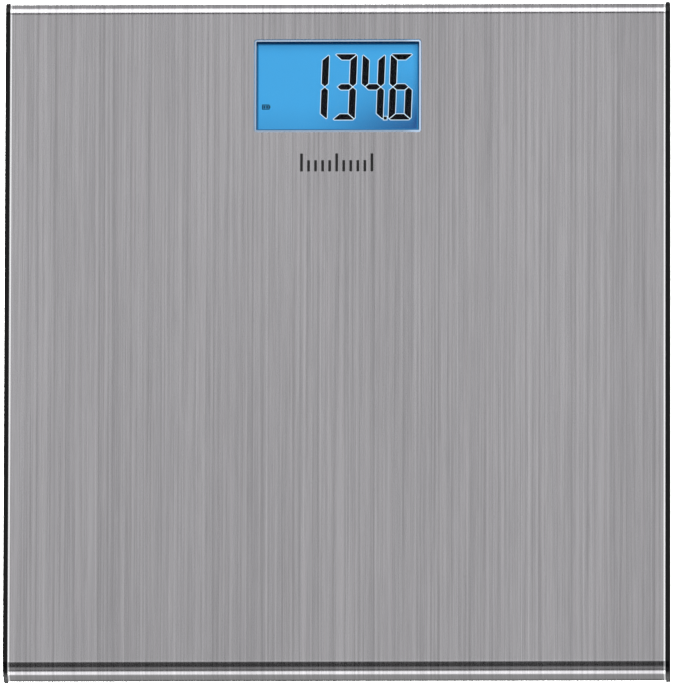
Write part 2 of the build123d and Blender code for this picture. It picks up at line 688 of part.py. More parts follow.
# ---------------------------------------------------------------- base cover
# A shallow tray: foot collars, screw wells, the battery bay and the button's guide.
with BuildPart() as base_cover:
    with BuildSketch(Plane.XY.offset(base_bottom)):
        RectangleRounded(base_width, base_depth, BASE_CORNER)
    extrude(amount=rim_top - base_bottom)
    fillet(base_cover.faces().sort_by(Axis.Z)[0].edges(), BASE_FILLET)
    with BuildSketch(Plane.XY.offset(base_top)):
        RectangleRounded(
            base_width - 2 * BASE_RIM, base_depth - 2 * BASE_RIM, BASE_CORNER - BASE_RIM
        )
    extrude(amount=rim_top, mode=Mode.SUBTRACT)
    with BuildSketch(Plane.XY.offset(base_top - WELD)):
        RectangleRounded(locating_width, locating_depth, BASE_CORNER)
        RectangleRounded(
            locating_width - 2 * LOCATING_WALL,
            locating_depth - 2 * LOCATING_WALL,
            BASE_CORNER - LOCATING_WALL,
            mode=Mode.SUBTRACT,
        )
    extrude(amount=LOCATING_HEIGHT + WELD)
    with BuildSketch(Plane.XY.offset(base_top - WELD)):
        with GridLocations(2 * foot_x, 2 * foot_y, 2, 2):
            Circle(collar_inner + COLLAR_WALL)
            Circle(collar_inner, mode=Mode.SUBTRACT)
    extrude(amount=COLLAR_HEIGHT + WELD)
    with BuildSketch(Plane.XY.offset(base_top - WELD)):
        with Locations(*base_screw_places):
            Circle(WELL_RADIUS)
    extrude(amount=well_top - base_top + WELD)
    with BuildSketch(Plane.XY.offset(base_top - WELD)):
        with Locations((0, bay_middle)):
            Rectangle(bay_width + 2 * BAY_WALL, bay_depth + 2 * BAY_WALL)
    extrude(amount=bay_top - base_top + WELD)
    with BuildSketch(Plane.XY.offset(base_top - WELD)):
        with Locations((0, hinge_y)):
            Rectangle(bay_width + 2 * BAY_WALL + 2 * HINGE_BLOCK, HINGE_BLOCK_DEPTH)
    extrude(amount=HINGE_BLOCK_HEIGHT + WELD)
    with BuildSketch(Plane.XY.offset(base_top - WELD)):
        with Locations((button_x, button_y)):
            Circle(button_flange_radius + BUTTON_GAP + GUIDE_RING_WALL)
    extrude(amount=GUIDE_RING_HEIGHT + WELD)
    with BuildSketch(Plane.XY.offset(base_top)):
        with Locations((button_x, button_y)):
            Circle(button_flange_radius + BUTTON_GAP)
    extrude(amount=GUIDE_RING_HEIGHT + WELD, mode=Mode.SUBTRACT)
    with BuildSketch(Plane.XY.offset(base_top - WELD)):
        with Locations((button_x - SWITCH_POST_X, button_y), (button_x + SWITCH_POST_X, button_y)):
            Circle(SWITCH_POST_RADIUS)
    extrude(amount=switch_top - base_top + WELD)
    # Openings through the plate
    with BuildSketch(Plane.XY.offset(base_bottom)):
        with GridLocations(2 * foot_x, 2 * foot_y, 2, 2):
            Circle(FOOT_RADIUS + FOOT_GAP)
        with Locations((button_x, button_y)):
            Circle(BUTTON_RADIUS + BUTTON_GAP)
        with Locations(*base_screw_places):
            Circle(screw_hole_radius)
    extrude(amount=well_top, mode=Mode.SUBTRACT)
    with BuildSketch(Plane.XY.offset(base_bottom)):
        with Locations(*base_screw_places):
            Circle(SCREW_HEAD_RADIUS + SCREW_HEAD_GAP)
    extrude(amount=well_seat - base_bottom, mode=Mode.SUBTRACT)
    with BuildSketch(Plane.XY.offset(base_bottom)):
        with Locations((0, bay_middle)):
            Rectangle(bay_width, bay_depth)
    extrude(amount=bay_ceiling - base_bottom, mode=Mode.SUBTRACT)
    # Recesses in the underside: a finger scoop at the door, and a blank label field
    with BuildSketch(Plane.XY.offset(base_bottom)):
        with Locations((0, bay_front)):
            Circle(SCOOP_RADIUS)
    extrude(amount=SCOOP_DEPTH, mode=Mode.SUBTRACT)
    with BuildSketch(Plane.XY.offset(base_bottom)):
        with Locations((0, LABEL_Y)):
            RectangleRounded(LABEL_WIDTH, LABEL_DEPTH, CELL_CORNER)
    extrude(amount=LABEL_RECESS, mode=Mode.SUBTRACT)
    # Inside the bay: ridges between the batteries, and ledges that stop the door
    with BuildSketch(Plane.XY.offset(bay_ceiling + WELD)):
        with Locations((0, battery_y)):
            with GridLocations(battery_pitch, battery_pitch, 1, BATTERY_COUNT - 1):
                Rectangle(bay_width - 4 * BAY_SPRING_SPACE, BAY_RIDGE)
    extrude(amount=-BAY_RIDGE_DEPTH - WELD)
    for side in (-1, 1):
        with BuildSketch(Plane.XY.offset(ledge_bottom)):
            with Locations((side * (bay_width - DOOR_LEDGE) / 2, bay_front + ledge_depth / 2)):
                Rectangle(DOOR_LEDGE, ledge_depth)
        extrude(amount=DOOR_LEDGE_HEIGHT)
    # Sockets for the door's pins, holes for the battery leads, and the switch posts' pilots
    for side, lead_y in ((-1, battery_places[0]), (1, battery_places[-1])):
        with BuildSketch(Plane.YZ.offset(side * bay_width / 2)):
            with Locations((hinge_y, hinge_height)):
                Circle(socket_radius)
        extrude(amount=side * (DOOR_PIN_REACH + DOOR_GAP), mode=Mode.SUBTRACT)
        with BuildSketch(Plane.YZ.offset(side * bay_width / 2)):
            with Locations((lead_y, lead_height)):
                Circle(THIN_LEAD_RADIUS + LEAD_HOLE_GAP)
        extrude(amount=side * (BAY_WALL + WELD), mode=Mode.SUBTRACT)
    with BuildSketch(Plane.XY.offset(switch_top)):
        with Locations((button_x - SWITCH_POST_X, button_y), (button_x + SWITCH_POST_X, button_y)):
            Circle(small_pilot_radius)
    extrude(amount=SWITCH_BOARD - SMALL_SCREW_LENGTH - SCREW_SPARE, mode=Mode.SUBTRACT)
base_cover.part.label = "base_cover"
export_step(base_cover.part, "parts/base_cover.step")

# ---------------------------------------------------------------- feet and load cells
for corner, (side, end) in corners.items():
    place_x = side * foot_x
    place_y = end * foot_y

    # A cup whose hub presses on the cell's tongue; its flange keeps it behind the base plate
    with BuildPart() as foot_cup:
        with BuildSketch(Plane((place_x, place_y, 0), (1, 0, 0), (0, -1, 0))):
            with BuildLine():
                FilletPolyline(
                    (0, pad_top),
                    (PAD_RADIUS + PAD_GAP, pad_top),
                    (PAD_RADIUS + PAD_GAP, FOOT_BASE),
                    (FOOT_RADIUS, FOOT_BASE),
                    (FOOT_RADIUS, foot_flange_bottom),
                    (flange_radius, foot_flange_bottom),
                    (flange_radius, foot_flange_top),
                    (FOOT_RADIUS - FOOT_WALL, foot_flange_top),
                    (FOOT_RADIUS - FOOT_WALL, cup_floor_top),
                    (HUB_RADIUS, cup_floor_top),
                    (HUB_RADIUS, cell_bottom),
                    (0, cell_bottom),
                    radius=[0, 0, 0, FOOT_EDGE, 0, 0, 0, 0, FOOT_EDGE, FOOT_EDGE, 0, 0],
                    close=True,
                )
            make_face()
        revolve(axis=Axis((place_x, place_y, 0), (0, 0, 1)))
        with BuildSketch(Plane((place_x, place_y, cup_floor_top - WELD))):
            with PolarLocations((HUB_RADIUS + FOOT_RADIUS - FOOT_WALL) / 2, HUB_RIBS):
                Rectangle(FOOT_RADIUS - FOOT_WALL - HUB_RADIUS + 2 * WELD, HUB_RIB)
        extrude(amount=foot_flange_bottom - cup_floor_top + WELD)
    foot_cup.part.label = f"foot_cup_{corner}"
    export_step(foot_cup.part, f"parts/foot_cup_{corner}.step")

    # A rubber pad in the cup's seat, with two ring grooves as a tread
    with BuildPart() as foot_pad:
        with BuildSketch(Plane((place_x, place_y, 0))):
            Circle(PAD_RADIUS)
        extrude(amount=pad_top)
        chamfer(foot_pad.edges().group_by(Axis.Z)[0], PAD_CHAMFER)
        with BuildSketch(Plane((place_x, place_y, 0))):
            for groove in range(TREAD_RINGS, 0, -1):
                Circle(groove * TREAD_PITCH + TREAD_WIDTH)
                Circle(groove * TREAD_PITCH, mode=Mode.SUBTRACT)
        extrude(amount=TREAD_DEPTH, mode=Mode.SUBTRACT)
    foot_pad.part.label = f"foot_pad_{corner}"
    export_step(foot_pad.part, f"parts/foot_pad_{corner}.step")

    # A square steel cell whose tongue is freed by a U-shaped slot, open towards its lead
    with BuildPart() as load_cell:
        with BuildSketch(Plane((place_x, place_y, cell_bottom))):
            RectangleRounded(CELL_SIZE, CELL_SIZE, CELL_CORNER)
            Rectangle(SLOT_OUTER_WIDTH, SLOT_OUTER_DEPTH, mode=Mode.SUBTRACT)
            with Locations((0, -end * (SLOT + WELD) / 2)):
                Rectangle(SLOT_OUTER_WIDTH - 2 * SLOT, SLOT_OUTER_DEPTH - SLOT + WELD)
        extrude(amount=CELL_THICKNESS)
    load_cell.part.label = f"load_cell_{corner}"
    export_step(load_cell.part, f"parts/load_cell_{corner}.step")

    # A plate that holds the cell up in its nest
    with BuildPart() as cell_bracket:
        with BuildSketch(Plane((place_x, place_y, bracket_bottom))):
            RectangleRounded(block_width, block_depth, BLOCK_CORNER)
            RectangleRounded(
                SLOT_OUTER_WIDTH + BRACKET_OPENING_GROWTH,
                SLOT_OUTER_DEPTH + BRACKET_OPENING_GROWTH,
                BLOCK_CORNER,
                mode=Mode.SUBTRACT,
            )
            with GridLocations(2 * bracket_screw_x, 1, 2, 1):
                Circle(screw_hole_radius, mode=Mode.SUBTRACT)
        extrude(amount=BRACKET_THICKNESS)
    cell_bracket.part.label = f"cell_bracket_{corner}"
    export_step(cell_bracket.part, f"parts/cell_bracket_{corner}.step")

    # The cell's lead, from the edge of the cell to its port
    with BuildPart() as cell_lead:
        route = cell_routes[corner]
        radii = bend_radii(route)
        with BuildLine(Plane.XY.offset(lead_height)) as lead_line:
            FilletPolyline(*route, radius=radii)
        with BuildSketch(Plane(lead_line.line @ 0, z_dir=lead_line.line % 0)):
            Circle(LEAD_RADIUS)
        sweep(path=lead_line.line)
    print(f"cell_lead_{corner} bend radii:", [round(radius, 1) for radius in radii])
    cell_lead.part.label = f"cell_lead_{corner}"
    export_step(cell_lead.part, f"parts/cell_lead_{corner}.step")

# Silicone over the strain gauges, at the root of each cell's tongue
with BuildPart() as gauge_potting:
    with BuildSketch(Plane.XY.offset(cell_top)):
        with GridLocations(2 * foot_x, 2 * (foot_y - POTTING_OFFSET), 2, 2):
            RectangleRounded(POTTING_WIDTH, POTTING_DEPTH, BLOCK_CORNER)
    extrude(amount=POTTING_HEIGHT)
    fillet(gauge_potting.edges().group_by(Axis.Z)[-1], POTTING_HEIGHT / 2)
gauge_potting.part.label = "gauge_potting"
export_step(gauge_potting.part, "parts/gauge_potting.step")

# ---------------------------------------------------------------- display stack
# The window's lens: a boss that fills the cut-out, and a flange under the sheet
with BuildPart() as window_lens:
    with BuildSketch(Plane((0, window_y, flange_bottom))):
        RectangleRounded(flange_width, flange_depth, WINDOW_CORNER)
    extrude(amount=LENS_FLANGE_THICKNESS)
    with BuildSketch(Plane((0, window_y, flange_top - WELD))):
        RectangleRounded(boss_width, boss_depth, WINDOW_CORNER)
    extrude(amount=steel_top - LENS_RECESS - flange_top + WELD)
    chamfer(window_lens.faces().sort_by(Axis.Z)[-1].edges(), LENS_CHAMFER)
window_lens.part.label = "window_lens"
export_step(window_lens.part, "parts/window_lens.step")

# Double-sided tape between the lens's flange and the sheet
with BuildPart() as lens_tape:
    with BuildSketch(Plane((0, window_y, flange_top))):
        Rectangle(flange_width, flange_depth)
        Rectangle(flange_width - 2 * TAPE_WIDTH, flange_depth - 2 * TAPE_WIDTH, mode=Mode.SUBTRACT)
    extrude(amount=TAPE_THICKNESS)
lens_tape.part.label = "lens_tape"
export_step(lens_tape.part, "parts/lens_tape.step")

# A black foam gasket that frames the view and seals the lens to the glass
with BuildPart() as display_gasket:
    with BuildSketch(Plane((0, window_y, front_glass_top))):
        Rectangle(view_width + 2 * GASKET_WIDTH, view_depth + 2 * GASKET_WIDTH)
        Rectangle(view_width, view_depth, mode=Mode.SUBTRACT)
    extrude(amount=GASKET_THICKNESS)
display_gasket.part.label = "display_gasket"
export_step(display_gasket.part, "parts/display_gasket.step")

# The liquid crystal cell: the front glass carries the contact ledge past the rear glass
with BuildPart() as lcd_glass_front:
    with BuildSketch(Plane((0, front_glass_y, front_glass_bottom))):
        Rectangle(glass_width, front_glass_depth)
    extrude(amount=GLASS_THICKNESS)
lcd_glass_front.part.label = "lcd_glass_front"
export_step(lcd_glass_front.part, "parts/lcd_glass_front.step")

with BuildPart() as lcd_glass_rear:
    with BuildSketch(Plane((0, window_y, rear_glass_bottom))):
        Rectangle(glass_width, rear_glass_depth)
    extrude(amount=GLASS_THICKNESS)
lcd_glass_rear.part.label = "lcd_glass_rear"
export_step(lcd_glass_rear.part, "parts/lcd_glass_rear.step")

# The light guide behind the glass, and the lamps at its left end
with BuildPart() as backlight_guide:
    with BuildSketch(Plane((LED_SPACE / 2, window_y, guide_bottom))):
        Rectangle(glass_width - LED_SPACE, rear_glass_depth)
    extrude(amount=GUIDE_THICKNESS)
backlight_guide.part.label = "backlight_guide"
export_step(backlight_guide.part, "parts/backlight_guide.step")

with BuildPart() as backlight_leds:
    with BuildSketch(Plane(((LED_SPACE - glass_width) / 2, window_y, guide_bottom))):
        with GridLocations(1, LED_SPACING, 1, LED_COUNT):
            Rectangle(LED_SIZE, LED_LENGTH)
    extrude(amount=LED_SIZE)
backlight_leds.part.label = "backlight_leds"
export_step(backlight_leds.part, "parts/backlight_leds.step")

# A white tray that holds the glass and the guide on the board, with a slot for the contacts
with BuildPart() as display_frame:
    with BuildSketch(Plane((0, front_glass_y, board_top))):
        RectangleRounded(tray_width, tray_depth, BLOCK_CORNER)
    extrude(amount=front_glass_top - board_top)
    with BuildSketch(Plane((0, front_glass_y, guide_bottom))):
        Rectangle(tray_inner_width, tray_inner_depth)
    extrude(amount=front_glass_top - guide_bottom, mode=Mode.SUBTRACT)
    with BuildSketch(Plane((0, zebra_y, board_top))):
        Rectangle(zebra_length + 2 * TRAY_GAP, ZEBRA_WIDTH + 2 * TRAY_GAP)
    extrude(amount=TRAY_FLOOR, mode=Mode.SUBTRACT)
display_frame.part.label = "display_frame"
export_step(display_frame.part, "parts/display_frame.step")

# The rubber contact strip from the board to the front glass's ledge
with BuildPart() as zebra_strip:
    with BuildSketch(Plane((0, zebra_y, board_top))):
        Rectangle(zebra_length, ZEBRA_WIDTH)
    extrude(amount=front_glass_bottom - board_top)
zebra_strip.part.label = "zebra_strip"
export_step(zebra_strip.part, "parts/zebra_strip.step")

# ---------------------------------------------------------------- circuit board
with BuildPart() as circuit_board:
    with BuildSketch(Plane((0, window_y, board_bottom))):
        RectangleRounded(board_width, board_depth, BLOCK_CORNER)
        with GridLocations(2 * board_hole_x, 2 * board_hole_y, 2, 2):
            Circle(BOARD_HOLE_RADIUS, mode=Mode.SUBTRACT)
    extrude(amount=BOARD_THICKNESS)
circuit_board.part.label = "circuit_board"
export_step(circuit_board.part, "parts/circuit_board.step")

# The controller, a square package with a row of pins along each side
with BuildPart() as controller_chip:
    with BuildSketch(Plane((0, window_y, board_bottom))):
        RectangleRounded(CHIP_SIZE, CHIP_SIZE, WELD)
    extrude(amount=-CHIP_HEIGHT)
    with BuildSketch(Plane((0, window_y, board_bottom))):
        with GridLocations(CHIP_PIN_PITCH, CHIP_SIZE, CHIP_PINS, 2):
            Rectangle(CHIP_PIN_WIDTH, CHIP_PIN_LENGTH)
        with GridLocations(CHIP_SIZE, CHIP_PIN_PITCH, 2, CHIP_PINS):
            Rectangle(CHIP_PIN_LENGTH, CHIP_PIN_WIDTH)
    extrude(amount=-CHIP_PIN)
controller_chip.part.label = "controller_chip"
export_step(controller_chip.part, "parts/controller_chip.step")

# Capacitors, a crystal and resistors on the board's underside, each standing free
with BuildPart() as board_components:
    with BuildSketch(Plane((0, window_y, board_bottom))):
        with Locations(*CAPACITOR_PLACES):
            Circle(CAPACITOR_RADIUS)
    extrude(amount=-CAPACITOR_HEIGHT)
    with BuildSketch(Plane((0, window_y, board_bottom))):
        with Locations(*CRYSTAL_PLACES):
            RectangleRounded(CRYSTAL_LENGTH, CRYSTAL_WIDTH, CRYSTAL_CORNER)
    extrude(amount=-CRYSTAL_HEIGHT)
    with BuildSketch(Plane((0, window_y, board_bottom))):
        with Locations(*RESISTOR_PLACES):
            with GridLocations(RESISTOR_PITCH, RESISTOR_PITCH, RESISTORS_ACROSS, RESISTORS_ALONG):
                Rectangle(RESISTOR_LENGTH, RESISTOR_WIDTH)
    extrude(amount=-RESISTOR_HEIGHT)
board_components.part.label = "board_components"
export_step(board_components.part, "parts/board_components.step")

# One port for each lead: seven at the front edge of the board, and one on the switch's board
port_places = [
    (side * x, port_mouth + PORT_SIZE / 2)
    for x in (BACK_PORT_X, FRONT_PORT_X, BATTERY_PORT_X)
    for side in (-1, 1)
]
port_places.append((SWITCH_PORT_X, port_mouth + PORT_SIZE / 2))
with BuildPart() as lead_ports:
    with BuildSketch(Plane.XY.offset(board_bottom)):
        with Locations(*port_places):
            Rectangle(PORT_SIZE, PORT_SIZE)
    extrude(amount=-PORT_HEIGHT)
    chamfer(lead_ports.edges().group_by(Axis.Z)[0], WELD)
    with BuildSketch(Plane.XY.offset(switch_board_top)):
        with Locations((button_x, switch_port_y)):
            Rectangle(SWITCH_PORT_WIDTH, SWITCH_PORT_DEPTH)
    extrude(amount=SWITCH_PORT_HEIGHT)
lead_ports.part.label = "lead_ports"
export_step(lead_ports.part, "parts/lead_ports.step")

# ---------------------------------------------------------------- battery bay pieces
# The batteries lie side by side and point left and right in turn.
for index, place_y in enumerate(battery_places):
    side = -1 if index % 2 == 0 else 1
    with BuildPart() as battery:
        with BuildSketch(
            Plane(
                (side * (battery_shift - BATTERY_LENGTH / 2), place_y, battery_height),
                (0, 1, 0),
                (side, 0, 0),
            )
        ):
            Circle(BATTERY_RADIUS)
        extrude(amount=BATTERY_LENGTH - BATTERY_NUB)
        fillet(battery.edges().filter_by(GeomType.CIRCLE), BATTERY_EDGE)
        with BuildSketch(
            Plane(
                (side * (battery_shift + BATTERY_LENGTH / 2), place_y, battery_height),
                (0, 1, 0),
                (side, 0, 0),
            )
        ):
            Circle(BATTERY_NUB_RADIUS)
        extrude(amount=-BATTERY_NUB - WELD)
    battery.part.label = f"battery_{index + 1}"
    export_step(battery.part, f"parts/battery_{index + 1}.step")

# Contact plates: one alone at each end of the row, and a wide one that joins each next pair
with BuildPart() as battery_contacts:
    for index in range(BATTERY_COUNT + 1):
        side = -1 if index % 2 == 0 else 1
        first = battery_places[max(index - 1, 0)]
        last = battery_places[min(index, BATTERY_COUNT - 1)]
        face = side * bay_width / 2
        with BuildSketch(Plane((face, (first + last) / 2, contact_middle), (0, 1, 0), (1, 0, 0))):
            Rectangle(last - first + CONTACT_WIDTH, CONTACT_HEIGHT)
        extrude(amount=-side * CONTACT)
battery_contacts.part.label = "battery_contacts"
export_step(battery_contacts.part, "parts/battery_contacts.step")

# A coil behind each battery's flat end
with BuildPart() as battery_springs:
    coil_length = BAY_SPRING_SPACE - 2 * SPRING_WIRE
    for index, place_y in enumerate(battery_places):
        side = -1 if index % 2 == 0 else 1
        coil_start = (-side * (bay_width / 2 - CONTACT - SPRING_WIRE), place_y, battery_height)
        with BuildLine() as coil_line:
            Helix(
                coil_length / SPRING_TURNS,
                coil_length,
                SPRING_RADIUS,
                center=coil_start,
                direction=(side, 0, 0),
            )
        with BuildSketch(Plane(coil_line.line @ 0, z_dir=coil_line.line % 0)) as coil_wire:
            Circle(SPRING_WIRE)
        sweep(coil_wire.sketch, path=coil_line.line, is_frenet=True)
battery_springs.part.label = "battery_springs"
export_step(battery_springs.part, "parts/battery_springs.step")

# The door, with its barrel and pins at the back and its latch prong at the front
with BuildPart() as battery_door:
    with BuildSketch(Plane((0, (hinge_y + door_front) / 2, base_bottom))):
        Rectangle(door_width, hinge_y - door_front)
    extrude(amount=DOOR_THICKNESS)
    with BuildSketch(Plane((-door_width / 2, hinge_y, hinge_height), (0, 1, 0), (1, 0, 0))):
        Circle(DOOR_BARREL_RADIUS)
    extrude(amount=door_width)
    with BuildSketch(
        Plane((-door_width / 2 - DOOR_PIN_REACH, hinge_y, hinge_height), (0, 1, 0), (1, 0, 0))
    ):
        Circle(DOOR_PIN_RADIUS)
    extrude(amount=door_width + 2 * DOOR_PIN_REACH)
    with BuildSketch(Plane((0, door_front + DOOR_GAP + LATCH_THICKNESS / 2, door_top - WELD))):
        Rectangle(LATCH_WIDTH, LATCH_THICKNESS)
    extrude(amount=LATCH_HEIGHT + WELD)
    # Finger grooves near the latch
    with BuildSketch(Plane((0, door_front + GRIP_INSET, base_bottom))):
        with GridLocations(1, GRIP_PITCH, 1, GRIP_GROOVES):
            SlotOverall(GRIP_LENGTH, GRIP_WIDTH)
    extrude(amount=GRIP_DEPTH, mode=Mode.SUBTRACT)
battery_door.part.label = "battery_door"
export_step(battery_door.part, "parts/battery_door.step")

# The battery leads and the switch's lead
for lead_name, route in (
    ("battery_lead_positive", positive_route),
    ("battery_lead_negative", negative_route),
    ("switch_lead", switch_route),
):
    radii = bend_radii(route)
    with BuildPart() as thin_lead:
        with BuildLine(Plane.XY.offset(lead_height)) as lead_line:
            FilletPolyline(*route, radius=radii)
        with BuildSketch(Plane(lead_line.line @ 0, z_dir=lead_line.line % 0)):
            Circle(THIN_LEAD_RADIUS)
        sweep(path=lead_line.line)
    print(f"{lead_name} bend radii:", [round(radius, 1) for radius in radii])
    thin_lead.part.label = lead_name
    export_step(thin_lead.part, f"parts/{lead_name}.step")

# ---------------------------------------------------------------- unit button and switch
with BuildPart() as unit_button:
    with BuildSketch(Plane((button_x, button_y, button_face))):
        Circle(BUTTON_RADIUS)
    extrude(amount=button_flange_bottom - button_face)
    fillet(unit_button.edges().group_by(Axis.Z)[0], BUTTON_EDGE)
    with BuildSketch(Plane((button_x, button_y, button_flange_bottom))):
        Circle(button_flange_radius)
    extrude(amount=BUTTON_FLANGE_THICKNESS)
    with BuildSketch(Plane((button_x, button_y, button_flange_top))):
        Circle(BUTTON_STEM_RADIUS)
    extrude(amount=BUTTON_STEM)
unit_button.part.label = "unit_button"
export_step(unit_button.part, "parts/unit_button.step")

with BuildPart() as switch_plunger:
    with BuildSketch(Plane((button_x, button_y, stem_top))):
        Circle(PLUNGER_RADIUS)
    extrude(amount=PLUNGER_LENGTH)
switch_plunger.part.label = "switch_plunger"
export_step(switch_plunger.part, "parts/switch_plunger.step")

with BuildPart() as unit_switch:
    with BuildSketch(Plane((button_x, button_y, switch_bottom))):
        RectangleRounded(SWITCH_SIZE, SWITCH_SIZE, WELD)
    extrude(amount=SWITCH_HEIGHT)
    with BuildSketch(Plane((button_x, button_y, switch_bottom))):
        Circle(switch_bore_radius)
    extrude(amount=switch_bore_top - switch_bottom, mode=Mode.SUBTRACT)
unit_switch.part.label = "unit_switch"
export_step(unit_switch.part, "parts/unit_switch.step")

with BuildPart() as switch_board:
    with BuildSketch(Plane((button_x, button_y, switch_top))):
        RectangleRounded(SWITCH_BOARD_WIDTH, SWITCH_BOARD_DEPTH, WELD)
        with GridLocations(2 * SWITCH_POST_X, 1, 2, 1):
            Circle(SMALL_SCREW_RADIUS + SCREW_HOLE_GAP, mode=Mode.SUBTRACT)
    extrude(amount=SWITCH_BOARD)
switch_board.part.label = "switch_board"
export_step(switch_board.part, "parts/switch_board.step")

# ---------------------------------------------------------------- screws
# All driven upwards, heads down, except the two that hold the switch's board.
for screws_name, places, seat in (
    ("base_screws", base_screw_places, well_seat),
    ("bracket_screws", bracket_screw_places, bracket_bottom),
):
    with BuildPart() as screws:
        with BuildSketch(Plane.XY.offset(seat)):
            with Locations(*places):
                Circle(SCREW_HEAD_RADIUS)
        extrude(amount=-SCREW_HEAD)
        fillet(screws.edges().group_by(Axis.Z)[0], SCREW_EDGE)
        with BuildSketch(Plane.XY.offset(seat - WELD)):
            with Locations(*places):
                Circle(SCREW_RADIUS)
        extrude(amount=SCREW_LENGTH + WELD)
        with BuildSketch(Plane.XY.offset(seat - SCREW_HEAD)):
            with Locations(*places):
                Rectangle(RECESS_LENGTH, RECESS_WIDTH)
                Rectangle(RECESS_WIDTH, RECESS_LENGTH)
        extrude(amount=RECESS_DEPTH, mode=Mode.SUBTRACT)
    screws.part.label = screws_name
    export_step(screws.part, f"parts/{screws_name}.step")

switch_screw_places = [
    (button_x - SWITCH_POST_X, button_y),
    (button_x + SWITCH_POST_X, button_y),
]
for screws_name, places, seat, upward in (
    ("board_screws", board_screw_places, board_bottom, 1),
    ("switch_screws", switch_screw_places, switch_board_top, -1),
):
    with BuildPart() as screws:
        with BuildSketch(Plane.XY.offset(seat)):
            with Locations(*places):
                Circle(SMALL_SCREW_HEAD_RADIUS)
        extrude(amount=-upward * SMALL_SCREW_HEAD)
        with BuildSketch(Plane.XY.offset(seat - upward * WELD)):
            with Locations(*places):
                Circle(SMALL_SCREW_RADIUS)
        extrude(amount=upward * (SMALL_SCREW_LENGTH + WELD))
        with BuildSketch(Plane.XY.offset(seat - upward * SMALL_SCREW_HEAD)):
            with Locations(*places):
                Rectangle(SMALL_SCREW_HEAD_RADIUS, RECESS_WIDTH)
                Rectangle(RECESS_WIDTH, SMALL_SCREW_HEAD_RADIUS)
        extrude(amount=upward * RECESS_DEPTH, mode=Mode.SUBTRACT)
    screws.part.label = screws_name
    export_step(screws.part, f"parts/{screws_name}.step")
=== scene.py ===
# %% [markdown]
# A digital bathroom scale: a brushed steel platform between two glossy black end caps, with a
# backlit display near the back edge. This lesson builds its looks step by step round the packed
# CAD frame. The frame gives the place and size of its own pieces. The digits, the printed ticks and
# the light aren't in it, so their sizes are named values here.

# %% Load the frame
import json
import math

import bmesh
import bpy
from mathutils import Matrix, Vector


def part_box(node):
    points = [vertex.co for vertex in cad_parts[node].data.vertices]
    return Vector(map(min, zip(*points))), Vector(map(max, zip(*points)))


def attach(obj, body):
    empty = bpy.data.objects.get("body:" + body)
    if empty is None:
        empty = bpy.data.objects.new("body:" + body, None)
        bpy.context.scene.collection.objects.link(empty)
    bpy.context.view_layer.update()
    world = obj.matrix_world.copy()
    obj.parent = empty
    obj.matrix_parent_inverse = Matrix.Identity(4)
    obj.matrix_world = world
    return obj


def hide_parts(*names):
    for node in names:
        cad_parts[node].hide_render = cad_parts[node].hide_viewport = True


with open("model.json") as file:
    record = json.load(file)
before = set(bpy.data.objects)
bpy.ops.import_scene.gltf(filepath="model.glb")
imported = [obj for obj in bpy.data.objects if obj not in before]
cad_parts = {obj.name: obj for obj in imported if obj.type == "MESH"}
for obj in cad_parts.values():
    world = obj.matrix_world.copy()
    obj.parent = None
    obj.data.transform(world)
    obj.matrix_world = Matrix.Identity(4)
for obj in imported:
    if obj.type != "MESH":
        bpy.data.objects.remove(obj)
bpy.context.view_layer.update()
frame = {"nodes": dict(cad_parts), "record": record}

MM = 0.001
record = frame["record"]

# %% [markdown]
# The camera comes first, because it decides which reflections are seen. A flat steel plate is a
# dull mirror, so what it shows is the room on the far side of the line of sight. A long lens from
# far away keeps the platform's sides parallel. Its place is worked out from two tilts, one
# towards the person who stands on the scale and a small one to the right, and it rolls by a trace.

# %% Camera
SENSOR = 36.0
LENS = 1700.0
DISTANCE = 15.06
TILT_FRONT = math.radians(12.7)
TILT_RIGHT = math.radians(1.2)
ROLL = math.radians(0.14)
AIM = Vector((0.0009, -0.0007, 0.0240))
CLIP_NEAR = 1.0
CLIP_FAR = 40.0

back = Vector((math.tan(TILT_RIGHT), -math.tan(TILT_FRONT), 1.0)).normalized()
up = (Vector((0, 1, 0)) - back * back.y).normalized()
across = up.cross(back)
turn = Matrix((across, up, back)).transposed()
camera = bpy.data.objects.new("camera", bpy.data.cameras.new("camera"))
bpy.context.scene.collection.objects.link(camera)
camera.data.sensor_width = SENSOR
camera.data.lens = LENS
camera.data.clip_start = CLIP_NEAR
camera.data.clip_end = CLIP_FAR
camera.rotation_mode = "QUATERNION"
camera.location = AIM + back * DISTANCE
camera.rotation_quaternion = (turn @ Matrix.Rotation(ROLL, 3, "Z")).to_quaternion()
bpy.context.scene.camera = camera
bpy.context.scene.view_settings.view_transform = "Standard"
print("camera looks along", [round(v, 3) for v in -back])

# %% [markdown]
# Finishes are node trees. Wiring nodes by hand is long-winded, so one small class stands for a
# socket: Python arithmetic on it adds Math nodes, and its `node` method adds any other node. The
# settings of a node, such as its operation, are set before its sockets, because they decide which
# sockets there are.

# %% Shader arithmetic
OBJECT_PLACE = 3  # outputs of nodes, by their order
MIXED_COLOUR = 2
SEEN_FROM_BEHIND = 6
BRICK_MORTAR = 1
FIRST_COLOUR, SECOND_COLOUR = 6, 7  # inputs of a Mix node that mixes colours


